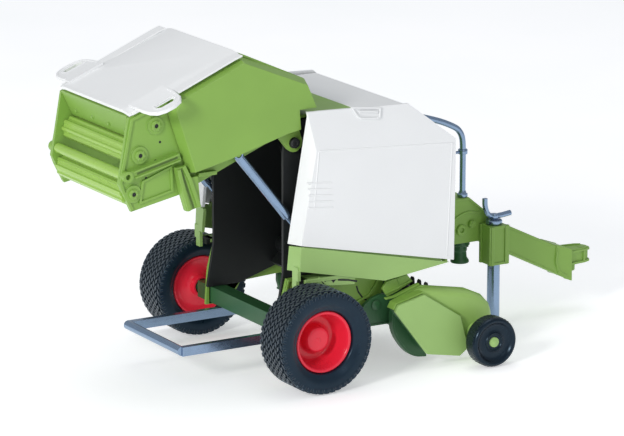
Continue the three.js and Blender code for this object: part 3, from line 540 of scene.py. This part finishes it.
def tail_side_ribs(word, where):
    """Rim, panel frame, brace edges and rings round the roller ends, on the tailgate's side."""
    low, top = WALL_OUTER - SUNK, WALL_OUTER + 1.1
    bm = bmesh.new()
    rim = [(-11.6, 33.4), (-24, 32.5), (-29.1, 32.7), (-59.5, 53.1), (-58.6, 76)]
    band(bm, rim, 1.8, WALL_OUTER - 0.4, top, where)
    for shift in (1.75, -1.75):
        brace = [(-31.0 + shift, 41.2 - shift * 0.14), (-26.6 + shift, 70.4 - shift * 0.14)]
        band(bm, brace, 1.0, WALL_OUTER + 3.2, WALL_OUTER + 4.6, where)
    panel = [(-23.4, 45.5), (-22.6, 64.6), (-9.6, 60.2), (-13.0, 39.4)]
    band(bm, panel, 1.3, low, top, where, closed=True)
    for latch_edge in ([(-21.2, 70.0), (-12.4, 70.6), (5.4, 69.9)],
                       [(-20.8, 66.4), (-8.2, 64.6), (4.5, 63.6)]):
        band(bm, latch_edge, 2.2, LATCH_FACE - SUNK, LATCH_FACE + 1.5, where)
    band(bm, [(-10.6, 77.6), (-6.2, 88.6)], 2.2, low, WALL_OUTER + 3.0, where)
    band(bm, [(-60.4, 80), (-62.2, 122)], 1.3, WALL_OUTER + 0.3, WALL_OUTER + 2.2, where)
    ring = [(4.9, low), (5.4, low), (5.4, WALL_OUTER + 0.55), (5.0, WALL_OUTER + 0.65), (4.9, low)]
    for x, z in ROLLERS:
        turned(bm, x, z, ring, where, 40)
    finish_piece(bm, f"tail_side_ribs_{word}", "tailgate", "green_plastic", bevel=0.2)


def tail_side_shade_strips(word, where):
    """Painted shade: darker green strips between the ribs of brace and latch arm, and darker green rings
    round the nuts.
    """
    low, high = WALL_OUTER - SUNK, WALL_OUTER + 0.07
    bm = bmesh.new()
    for line, face in (([(-30.6, 43.0), (-26.8, 69.4)], WALL_OUTER + 3.45),
                       ([(-20.4, 68.2), (5.0, 66.8)], LATCH_FACE + 0.05)):
        band(bm, line, 1.3, face - 0.4, face, where)
    for x, z in ROLLERS:
        turned(bm, x, z, [(3.3, low), (4.9, low), (4.9, high), (3.3, high), (3.3, low)], where, 40)
    finish_piece(bm, f"tail_side_shade_strips_{word}", "tailgate", "green_plastic", look=SHADED_GREEN)


def rear_cover_edge(word, where):
    """The white cover's foot beside the handle, and the flange over the rest of its edge."""
    bm = bmesh.new()
    band(bm, [(-62.9, 54.4), (-62.3, 81.4)], 2.4, WALL_OUTER + 0.15, WALL_OUTER + 1.25, where)
    flange = [(-62.4, 82.4), (-62.6, 100.0), (-62.9, 122.0), (-62.6, 127.0)]
    band(bm, flange, 1.1, WALL_OUTER - 1.0, 49.4, where)
    finish_piece(bm, f"rear_cover_edge_{word}", "tailgate", "white_plastic", bevel=0.3)


def handle_lip(word, side):
    """Raised edges round the outside and the opening of a loop handle."""
    cos, sin = math.cos(HANDLE_TILT), math.sin(HANDLE_TILT)

    def on_handle(out, depth, up):
        across = side * (WALL_OUTER + out * sin - depth * cos)
        return raised(COVER_LOW[0] - 0.6 + out * cos + depth * sin, across, COVER_LOW[1] + up)

    bm = bmesh.new()
    outside = [(1.0, 5.3), (8, 5.6), (14.8, 6.7), (19.1, 8.9), (21.4, 13.1), (21.6, 19.1), (19.8, 23.4),
               (15.7, 26.0), (8, 27.1), (1.0, 27.2)]
    band(bm, smooth_profile(outside, 1), 1.2, -0.4, 0.3, on_handle)
    opening = [(11.0, 11.2), (14.7, 10.3), (17.3, 13.1), (17.5, 21.1), (15.1, 24.4), (11.0, 24.1)]
    band(bm, opening, 0.9, -0.3, 0.3, on_handle, closed=True)
    finish_piece(bm, f"handle_lip_{word}", "tailgate", "white_plastic", bevel=0.15)


def tail_side_hole_shade(word, where):
    """Painted shade: black discs for the holes in the side and for the sockets in the middle of the roller
    nuts.
    """
    bm = bmesh.new()
    for x, z in ((-39.0, 64.2), (-24.2, 48.4), (-30.5, 57.5)):
        turned(bm, x, z, plug(0.75, WALL_OUTER - SUNK, WALL_OUTER + 0.06), where, 20)
    for x, z in ROLLERS:
        turned(bm, x, z, plug(1.2, 42.85, 44.0), where, 20)
    finish_piece(bm, f"tail_side_hole_shade_{word}", "tailgate", "black_plastic")


def roller_nut(number, word, where):
    x, z = ROLLERS[number - 1]
    profile = [(0, 42.9), (1.25, 42.9), (1.3, 44.3), (1.6, 44.5), (2.3, 44.5), (3.0, 44.1), (3.1, 42.4),
               (0, 42.3)]
    bm = bmesh.new()
    turned(bm, x, z, profile, where, 24)
    for k in range(6):
        spoke = [on_circle((x, z), radius, k * TAU / 6) for radius in (1.5, 2.9)]
        band(bm, spoke, 0.5, 44.2, 44.72, where)
    finish_piece(bm, f"roller_nut_{number}_{word}", f"roller_{number}", "green_plastic")


def tail_apron():
    """Raised edges and bolts on the sheet over the rollers."""
    half = 39.6
    bm = bmesh.new()
    band(bm, [(-61.4, 52.0), (-45.4, 53.1)], 1.0, -half, half, raised)
    band(bm, [(-61.2, 54.4), (-61.2, 51.6)], 1.4, -half, half, raised)
    for y in (-30, -10, 10, 30):
        turned(bm, -50.4, 52.2, plug(1.0, y - 1.2, y + 1.2), raised, 12)
    finish_piece(bm, "tail_apron", "tailgate", "green_plastic", bevel=0.2)


def build_tailgate():
    for word, side in SIDES.items():
        where = mirror_y(raised, side)
        tail_side_ribs(word, where)
        tail_side_shade_strips(word, where)
        rear_cover_edge(word, where)
        handle_lip(word, side)
        tail_side_hole_shade(word, where)
        for number in range(1, len(ROLLERS) + 1):
            roller_nut(number, word, where)
    tail_apron()


# ---- pick-up ----
# Repeated from the CAD model: the pivot, the reel's middle and the pan's half width.
PICKUP_PIVOT = (54.0, 37.5)
REEL = (87.0, 32.0)
PAN_HALF = 57.5

REEL_ROWS = 5
REEL_COLUMNS = [number * 7.5 for number in range(-7, 8)]
COWL_MIDDLE = (102.0, 24.0)


def pickup_belly():
    """Round pan behind the reel with its lip, its dark rounded ends and the arms to the pivot."""
    start, sweep, steps = 140, 74, 20
    angles = [math.radians(start + k * sweep / steps) for k in range(steps + 1)]
    bm = bmesh.new()
    outer, inner = ([on_circle(REEL, radius, angle) for angle in angles] for radius in (19.4, 18.0))
    prism(bm, outer + inner[::-1], -PAN_HALF, PAN_HALF)
    tip_x, tip_z = outer[-1]
    lip = [(tip_x + dx, tip_z + dz) for dx, dz in ((-0.9, 0.6), (-0.5, -0.9), (1.4, -1.4), (1.9, 0.2))]
    prism(bm, lip, -PAN_HALF, PAN_HALF)
    rear = smooth_profile([(64.6, 39.4), (61.2, 33.0), (61.6, 22.0), (68.4, 11.2), (75.6, 5.4),
                           (84.4, 4.4)])
    front = [(84.0, 8.0), (78.0, 15.0), (71.5, 27.0), (71.5, 41.6)]
    arm = smooth_profile([(44.3, 31.0), (44.4, 37.4), (55.5, 43.6), (62.0, 42.8), (69.8, 40.8),
                          (69.8, 27.2), (62.5, 25.1), (46.0, 25.1)], 1)
    for side in SIDES.values():
        where = mirror_y(place, side)
        prism(bm, rear + front, 55.9, 57.6, where)
        band(bm, rear, 1.3, 53.4, 57.75, where)
        prism(bm, arm, 47.1, 49.9, where)
        band(bm, [(69.6, 27.6), (62.4, 25.7), (45.4, 25.7)], 1.2, 46.6, 50.6, where)
    finish_piece(bm, "pickup_belly", "pickup", "dark_green_plastic", ["pickup_pan"], bevel=0.2)


def pickup_pin_cap(word, where):
    bm = bmesh.new()
    profile = [(0, 50.2), (2.7, 50.2), (2.9, 50.4), (2.9, 50.9), (2.4, 51.2), (0, 51.2)]
    turned(bm, *PICKUP_PIVOT, profile, where)
    finish_piece(bm, f"pickup_pin_cap_{word}", "frame", "dark_green_plastic")


def pickup_shield(word, where):
    """Light green face, dark body behind it and the green rim over the body's upper edges."""
    face = [(57.7, 41.2), (75.5, 45.2), (100.2, 29.0), (104.4, 14.0), (104.6, 8.0), (100.0, 4.8),
            (77.5, 9.0), (55.5, 37.5)]
    bm = bmesh.new()
    prism(bm, face, 67.6, 70.0, where)
    finish_piece(bm, f"shield_face_{word}", "pickup", "light_green_plastic", [f"pickup_shield_{word}"],
                 bevel=0.35)

    body = [(58.6, 39.9), (75.6, 43.8), (99.0, 28.4), (103.2, 14.0), (103.3, 8.6), (99.6, 6.0),
            (78.4, 9.9), (57.2, 37.2)]
    bm = bmesh.new()
    prism(bm, body, 60.3, 67.5, where)
    finish_piece(bm, f"shield_back_{word}", "pickup", "dark_green_plastic", bevel=0.3)

    rim = [(55.4, 38.4), (57.4, 42.0), (76.0, 46.4), (101.4, 29.8), (105.2, 14.4), (104.4, 14.0),
           (100.2, 29.0), (75.5, 45.2), (58.0, 41.0), (56.2, 38.0)]
    bm = bmesh.new()
    prism(bm, rim, 60.3, 67.4, where)
    finish_piece(bm, f"shield_rim_{word}", "pickup", "green_plastic", bevel=0.2)


def pickup_side_panel(word, where):
    """The folded plate above the shield's upper rear corner."""
    panel = [(56.6, 47.6), (59.2, 51.6), (73.4, 54.0), (77.4, 49.4), (66.6, 44.6), (60.0, 42.6)]
    bm = bmesh.new()
    prism(bm, panel, 51.6, 53.4, where)
    band(bm, [(58.2, 44.6), (66.0, 46.6), (76.2, 50.4)], 1.0, 53.0, 54.2, where)
    band(bm, [(68.8, 47.6), (66.8, 52.4)], 0.9, 53.0, 54.0, where)
    band(bm, [(56.2, 42.6), (62.0, 43.0), (79.0, 48.6)], 1.1, 55.6, 58.1, where)
    finish_piece(bm, f"pickup_side_panel_{word}", "pickup", "green_plastic", bevel=0.25)


def pickup_fairing(word, where):
    """The domed cowl at the end of the reel and the boss that carries the gauge wheel."""
    bm = bmesh.new()
    boss = [(0, 59.6), (9.6, 59.6), (9.4, 62.2), (8.2, 66.0), (7.0, 72.4), (6.6, 75.2), (5.6, 75.9),
            (0, 75.9)]
    turned(bm, GAUGE[0], GAUGE[2], boss, where, 48)
    corners = [(70.0, 44.6), (79.2, 47.9), (108.8, 42.4), (119.6, 37.2), (125.6, 30.8), (126.6, 22.0),
               (120.8, 9.4), (104.0, 6.4), (84.0, 12.0), (70.0, 30.0)]
    outline = smooth_profile(corners + corners[:1])[:-1]
    face, bulge, shrink, steps = 60.2, 6.2, 0.24, 7
    rings = []
    for step in range(steps + 1):
        lean = math.radians(step * 90 / steps)
        keep = 1 - shrink * (1 - math.cos(lean))
        ring = [[middle + (at - middle) * keep for at, middle in zip(corner, COWL_MIDDLE)]
                for corner in outline]
        rings.append([bm.verts.new(where(x, face + bulge * math.sin(lean), z)) for x, z in ring])
    for first, second in zip(rings, rings[1:]):
        bridge(bm, first, second)
    bm.faces.new(rings[0])
    bm.faces.new(rings[-1])
    # The cowl takes the lighter copy of the green, a painted highlight.
    finish_piece(bm, f"pickup_fairing_{word}", "pickup", "green_plastic", bevel=0.25, look=LIT_COWL_GREEN)


def reel_tines():
    """Five rows of twin tines on a drum with a low rib under each pair."""
    bm = bmesh.new()
    for row in range(REEL_ROWS):
        angle = math.radians(90 + row * 360 / REEL_ROWS)
        for column in REEL_COLUMNS:
            for y in (column - 0.75, column + 0.75):
                spots = [on_circle(REEL, radius, angle) for radius in (7, 12.4, 14.4, 15.4)]
                tube(bm, [place(x, y, z) for x, z in spots], (1.15, 1.1, 0.95, 0.35), 8)
    drum = [(0, -57.4), (3.0, -57.4), (3.0, -54.6), (8.4, -54.6)]
    for column in REEL_COLUMNS:
        drum += [(7.9, column - 2.0), (8.4, column - 1.6), (8.4, column + 1.6), (7.9, column + 2.0)]
    drum += [(8.4, 54.6), (3.0, 54.6), (3.0, 57.4), (0, 57.4)]
    turned(bm, *REEL, drum, steps=40)
    finish_piece(bm, "reel_tines", "reel", "black_plastic", ["tine_reel"])


def build_pickup():
    pickup_belly()
    for word, side in SIDES.items():
        where = mirror_y(place, side)
        pickup_pin_cap(word, where)
        pickup_shield(word, where)
        pickup_side_panel(word, where)
        pickup_fairing(word, where)
    reel_tines()


# ---- drawbar, hitch and jack sleeve ----
def drawbar_ribs():
    """Pivot ring, nut, arch, edges and end plate on both faces of the drawbar, and bolts on its top."""
    low = DRAWBAR_HALF - SUNK
    ring = [(0, low), (3.4, low), (3.4, low + 1.5), (2.9, low + 1.9), (1.5, low + 1.9), (1.2, low + 0.7),
            (0, low + 0.7)]
    nut = [(0, low), (2.7, low), (2.7, low + 1.9), (2.2, low + 2.5), (0, low + 2.5)]
    arch = curved_line([(130.6, 62.0), (133.2, 68.0), (138.2, 71.6), (145.2, 73.0), (152.4, 71.4)], 5)
    upper_edge = [(99.5, 81.2), (144.6, 81.2), (166.6, 63.2), (207.6, 43.2)]
    lower_edge = [(167.4, 47.6), (207.6, 26.8)]
    end_plate = [(208.4, 44.3), (219.8, 40.2), (220.1, 20.2), (214.6, 22.2), (209.8, 26.4), (207.6, 33.0)]
    end_rib = curved_line([(209.2, 41.6), (208.2, 34.0), (210.8, 27.6), (216.6, 23.4)], 4)
    bm = bmesh.new()
    for side in SIDES.values():
        where = mirror_y(place, side)
        turned(bm, 139.3, 62.5, ring, where, 28)
        turned(bm, 146.6, 65.4, nut, where, 6)
        turned(bm, 146.6, 65.4, plug(1.3, low, low + 3.1), where, 20)
        band(bm, arch, 1.2, low, low + 1.1, where)
        band(bm, [(100, 62), (130.6, 62)], 1.2, low, low + 1.0, where)
        band(bm, upper_edge, 1.2, low, low + 0.8, where)
        band(bm, lower_edge, 1.1, low, low + 0.7, where)
        prism(bm, end_plate, low, low + 1.0, where)
        band(bm, end_rib, 1.0, low + 0.7, low + 1.6, where)
    end_half = 8.9
    prism(bm, [(208.6, 43.9), (219.6, 40.0), (219.6, 30), (208.6, 30)], -end_half, end_half)
    for x in (118, 126):
        upright(bm, x, 0, [(0, 81.6), (2.2, 81.6), (2.2, 82.6), (1.7, 83.1), (0, 83.1)], 24)
    finish_piece(bm, "drawbar_ribs", "frame", "green_plastic", bevel=0.25)


def hitch_jaw():
    """Upper and lower plate of the hitch, the wall between them, its ribs and its two pins."""
    root = 219.6
    half = [(231.6, 6.4), (235.8, 4.6), (236.9, 2.2)]
    plan = [(root, -8.0)] + [(x, -y) for x, y in half] + half[::-1] + [(root, 8.0)]
    bm = bmesh.new()
    for low, high, keep in ((37.0, 38.3, 1.0), (29.7, 31.0, 1.0), (30.8, 37.2, 0.86)):
        ring = [(root + (x - root) * (0.6 + 0.4 * keep), y * keep) for x, y in plan]
        near, far = ([bm.verts.new(place(x, y, z)) for x, y in ring] for z in (low, high))
        bm.faces.new(near)
        bm.faces.new(far)
        bridge(bm, near, far)
    for side in SIDES.values():
        box(bm, (230.4, 231.6), (5.2, 6.3), (30.9, 37.1), mirror_y(place, side))
    for y in (-5.4, 5.4):
        rib = [place(x, y * scale, 38.6) for x, scale in ((220.6, 1.25), (231.0, 1.02), (234.6, 0.7))]
        tube(bm, rib, 0.6, 8)
    upright(bm, 232.4, 0, [(0, 29.2), (1.5, 29.2), (1.5, 38.4), (2.2, 38.4), (2.2, 38.5), (0, 38.5)], 20)
    upright(bm, 225.5, 0, [(0, 24.1), (1.7, 24.1), (2.2, 24.6), (2.3, 29.9), (0, 29.9)], 20)
    finish_piece(bm, "hitch_jaw", "frame", "green_plastic", ["hitch_tongue"], bevel=0.3)


def drive_joint():
    """The dark stub under the drawbar, its foot flared, with small bolts on its flange."""
    x = 144
    stub = [(0, 40.1), (5.4, 40.1), (5.7, 40.6), (5.5, 41.8), (4.3, 43.4), (4.0, 47.2), (4.4, 47.6),
            (4.4, 50.4), (6.0, 51.2), (6.0, 53.6), (0, 53.6)]
    bm = bmesh.new()
    upright(bm, x, 0, stub, 40)
    for k in range(6):
        upright(bm, *on_circle((x, 0), 5.2, k * TAU / 6), plug(0.7, 50.2, 51.6), 8)
    finish_piece(bm, "drive_joint", "frame", "dark_green_plastic", ["drive_stub"], bevel=0.15)


def jack_sleeve_ribs():
    low, high = 41.0, 65.0
    bm = bmesh.new()
    for x in (154.1, 163.9):
        box(bm, (x - 1.1, x + 1.1), (-21.3, -20.2), (low, high))
    for z in ((low, low + 1.6), (high - 1.6, high)):
        box(bm, (153.0, 165.0), (-21.0, -20.2), z)
    for x, y in (((151.9, 153.3), (-20.8, -18.8)), ((151.9, 153.3), (-11.0, -9.0)),
                 ((164.7, 166.1), (-20.8, -18.8))):
        box(bm, x, y, (low, high))
    finish_piece(bm, "jack_sleeve_ribs", "frame", "green_plastic", bevel=0.25)


def build_drawbar():
    drawbar_ribs()
    hitch_jaw()
    drive_joint()
    jack_sleeve_ribs()


# ---- housing ----
def door_relief(word, side):
    """Louvres, the border of the bare panel and the handle on the sloped top of a door."""
    where = mirror_y(place, side)
    low, high = DOOR_FACE - 0.25, DOOR_FACE + 0.3
    louvre_back, louvre_front, louvre_rise = 13.2, 3.3, 1.7
    bm = bmesh.new()
    for x, z in ((13.5, 117.9), (14.0, 114.2), (14.4, 110.5), (14.6, 106.8), (14.6, 103.1)):
        louvre = [(x - louvre_back, z + louvre_rise), (x + louvre_front, z)]
        band(bm, louvre, 0.85, low, DOOR_FACE + 0.42, where)
    for start, end in (((8.6, 137.2), (5.3, 103.2)), ((8.6, 137.2), (99.4, 131.6)),
                       ((98.4, 131.8), (95.3, 64.2))):
        band(bm, [start, end], 0.7, low, high, where)

    slope_foot, slope_top, top_face = 137, 159, 55
    slope = (DOOR_FACE - top_face) / (slope_top - slope_foot)

    def on_slope(x, y, z):
        return where(x, DOOR_FACE - (z - slope_foot) * slope + y, z)

    handle = [(34.4, 158.4), (52.8, 156.3), (51.6, 151.6), (49.6, 150.8), (39.2, 152.0), (37.2, 153.4)]
    band(bm, handle, 1.0, -0.4, 0.75, on_slope, closed=True)
    band(bm, [(38.6, 155.9), (51.0, 154.4)], 1.0, -0.4, 0.9, on_slope)
    finish_piece(bm, f"door_relief_{word}", f"door_{word}", "white_plastic", bevel=0.2)


def sill_lattice(word, where):
    """Light ledge behind the gap between door and skirt, and the lattice under the skirt."""
    bm = bmesh.new()
    band(bm, [(2.4, 60.2), (33.6, 57.4)], 4.4, 59.4, 60.4, where)
    band(bm, [(0.2, 61.8), (35, 61.4)], 1.2, 60.2, 61.2, where)
    band(bm, [(4.0, 81.2), (93.0, 61.9)], 2.6, 57.4, 59.6, where)
    band(bm, [(4.2, 57.4), (9.6, 62.2), (15.2, 57.0)], 0.9, 60.0, 60.9, where)
    finish_piece(bm, f"sill_lattice_{word}", "frame", "light_green_plastic", bevel=0.15)


def sill_shade_and_block(word, where):
    """Black sheets painted as the shade in the openings of the lattice and the slot in the chassis rail,
    and the black block over the wheel.
    """
    bm = bmesh.new()
    for tip in (6.2, 12.8, 19.4):
        prism(bm, [(tip - 2.6, 60.9), (tip + 2.2, 60.5), (tip - 0.4, 58.0)], 60.2, 60.55, where)
    band(bm, [(22.2, 59.4), (29.0, 58.4), (35.0, 56.8)], 1.0, 60.2, 60.65, where)
    slot = [(44.2, 49.0), (45.4, 45.4), (48.0, 41.8), (51.2, 39.4)]
    band(bm, slot, 0.9, RAIL_FACE, RAIL_FACE + 0.55, where)
    box(bm, (-2.6, 3.0), (50.8, 59.3), (59.0, 62.0), where)
    finish_piece(bm, f"sill_shade_and_block_{word}", "frame", "black_plastic")


def rail_ribs(word, where):
    bm = bmesh.new()
    lower_edge = [(16.8, 37.2), (44.6, 39.8), (52.4, 42.2), (58.6, 50.6), (62.0, 58.4)]
    upper_edge = [(-5.0, 46.0), (-1.6, 58.4), (60.4, 58.4)]
    for edge in (lower_edge, upper_edge):
        band(bm, edge, 1.3, RAIL_FACE, RAIL_FACE + 1.3, where)
    band(bm, [(6.0, 38.0), (24.0, 58.0)], 1.6, RAIL_FACE, RAIL_FACE + 1.1, where)
    boss = [(0, 0), (3.0, 0), (3.0, 1.4), (2.4, 1.8), (0, 1.8)]
    turned(bm, 25, 49, [(radius, RAIL_FACE + height) for radius, height in boss], where, 24)
    finish_piece(bm, f"rail_ribs_{word}", "frame", "green_plastic", bevel=0.2)


def hinge_cap(word, where):
    bm = bmesh.new()
    profile = [(0, 46.3), (2.9, 46.3), (2.9, 46.8), (2.3, 47.3), (1.2, 47.3), (1.0, 46.9), (0, 46.9)]
    turned(bm, *HINGE, profile, where)
    finish_piece(bm, f"hinge_cap_{word}", "frame", "black_plastic")


def build_housing():
    for word, side in SIDES.items():
        where = mirror_y(place, side)
        door_relief(word, side)
        sill_lattice(word, where)
        sill_shade_and_block(word, where)
        rail_ribs(word, where)
        hinge_cap(word, where)


# ---- silver tubes ----
# The jack's middle in x and y, repeated from the CAD model.
JACK = (159.0, -14.5)


def hose_tube():
    """The bent tube from the drawbar to the hood, with its foot, clamp, hook and end cap."""
    x, y = 142.0, -5.5
    route = [(x, y, 83), (x, y, 96), (x, y, 111), (x - 0.5, y, 118), (x - 2.4, y, 122.4), (x - 6, y, 125.6),
             (x - 16, y, 130.2), (112, y, 134.7), (99.6, y, 138.3)]
    foot = [(0, 82.3), (3.0, 82.3), (3.2, 82.6), (3.2, 84.0), (2.5, 84.6), (1.9, 86.2), (0, 86.2)]
    clamp = [(0, 108.6), (2.7, 108.6), (2.9, 108.9), (2.9, 111.2), (2.7, 111.5), (0, 111.5)]
    bm = bmesh.new()
    tube(bm, curve_points([place(*point) for point in route], 7), 1.88, 20)
    upright(bm, x, y, foot)
    upright(bm, x, y, clamp)
    tube(bm, [place(x - 2.0, y, 110), place(x - 9.5, y - 1.5, 110)], 0.9, 12)
    upright(bm, 98.8, y, [(0, 137.0), (1.5, 137.0), (1.5, 138.6), (0, 138.9)], 20)
    finish_piece(bm, "hose_tube", "frame", "silver", ["hose_guide"])


def jack_post():
    foot = [(0, 0.05), (7.4, 0.05), (8.0, 0.6), (8.0, 2.4), (7.4, 3.0), (4.6, 3.1), (3.9, 3.9)]
    collar = [(3.8, 65.6), (4.9, 65.6), (5.0, 66.0), (5.0, 67.4), (4.6, 67.9), (3.0, 67.9), (0, 67.9)]
    bm = bmesh.new()
    upright(bm, *JACK, foot + collar, 48)
    finish_piece(bm, "jack_post", "jack", "silver", ["jack_leg"])


def jack_handle():
    x, y = JACK
    bar = 70.0
    route = [(x - 6.7, y, bar + 11.6), (x - 6.4, y, bar + 6.5), (x - 4.6, y, bar + 2), (x - 1, y, bar),
             (x + 5, y, bar), (x + 11.6, y, bar + 0.7)]
    hub = [(0, 68.25), (2.3, 68.25), (2.5, 68.6), (2.5, 70.6), (2.2, 71.4), (0, 71.6)]
    bm = bmesh.new()
    tube(bm, curve_points([place(*point) for point in route], 7), 1.65, 18)
    upright(bm, *JACK, hub, 28)
    finish_piece(bm, "jack_handle", "jack", "silver", ["jack_crank"])


def build_tubes():
    hose_tube()
    jack_post()
    jack_handle()


# ---- camera, light and floor ----
def add_camera():
    camera = bpy.data.cameras.new("camera")
    camera.sensor_width = 36
    camera.lens = 229.51
    camera.clip_end = 20
    eye = bpy.data.objects.new("camera", camera)
    bpy.context.scene.collection.objects.link(eye)
    eye.location = place(-1113.96, -1958.45, 650.04)
    eye.rotation_euler = Vector((0.49258, 0.83566, -0.24295)).to_track_quat("-Z", "Y").to_euler()
    bpy.context.scene.camera = eye


def add_area(name, at, towards, size, power, colour=(1, 1, 1)):
    light = bpy.data.lights.new(name, "AREA")
    light.shape = "DISK"
    light.size = size
    light.energy = power
    light.color = colour
    lamp = bpy.data.objects.new(name, light)
    bpy.context.scene.collection.objects.link(lamp)
    lamp.location = at
    lamp.rotation_euler = (Vector(towards) - Vector(at)).to_track_quat("-Z", "Y").to_euler()


def add_lights():
    """A pale studio round the toy: places and sizes of the lamps in metres."""
    world = bpy.data.worlds.new("studio")
    bpy.context.scene.world = world
    world.use_nodes = True
    background = next(n for n in world.node_tree.nodes if n.type == "BACKGROUND")
    background.inputs["Color"].default_value = (0.93, 0.96, 1.0, 1)
    background.inputs["Strength"].default_value = 0.46
    add_area("key", (-1.8, -1.0, 0.95), (0, 0, 0.08), 0.45, 23, (1.0, 0.99, 0.96))
    add_area("fill", (-0.2, -2.2, 1.1), (0, 0, 0.08), 0.9, 3, (0.97, 0.98, 1.0))
    add_area("top", (0.1, 0.3, 1.9), (0, 0, 0.05), 1.2, 6)


def paper():
    """Pale, faintly clouded paper that glows a little, as a lit backdrop does."""
    n = Nodes("studio_paper")
    tone = n.mix(n.span(n.noise(6, 3), 0.3, 0.7, 0, 1), (0.86, 0.87, 0.88), (0.89, 0.89, 0.9))
    n.link(tone, n.shader.inputs["Base Color"])
    n.link(tone, n.shader.inputs["Emission Color"])
    n.shader.inputs["Emission Strength"].default_value = 0.46
    n.shader.inputs["Roughness"].default_value = 0.9
    return n.material


def add_floor():
    half, drop = 6.0, 0.0002
    bm = bmesh.new()
    bm.faces.new([bm.verts.new((a * half, b * half, -drop)) for a, b in SQUARE])
    mesh = bpy.data.meshes.new("studio_floor")
    bm.to_mesh(mesh)
    bm.free()
    mesh.materials.append(paper())
    floor = bpy.data.objects.new("studio_floor", mesh)
    bpy.context.scene.collection.objects.link(floor)


def build_stage():
    add_camera()
    add_lights()
    add_floor()
    bpy.context.scene.view_settings.view_transform = "Standard"


for node_name in frame["nodes"]:
    tidy_node(node_name)
build_wheels()
build_tailgate()
build_pickup()
build_drawbar()
build_housing()
build_tubes()
build_stage()
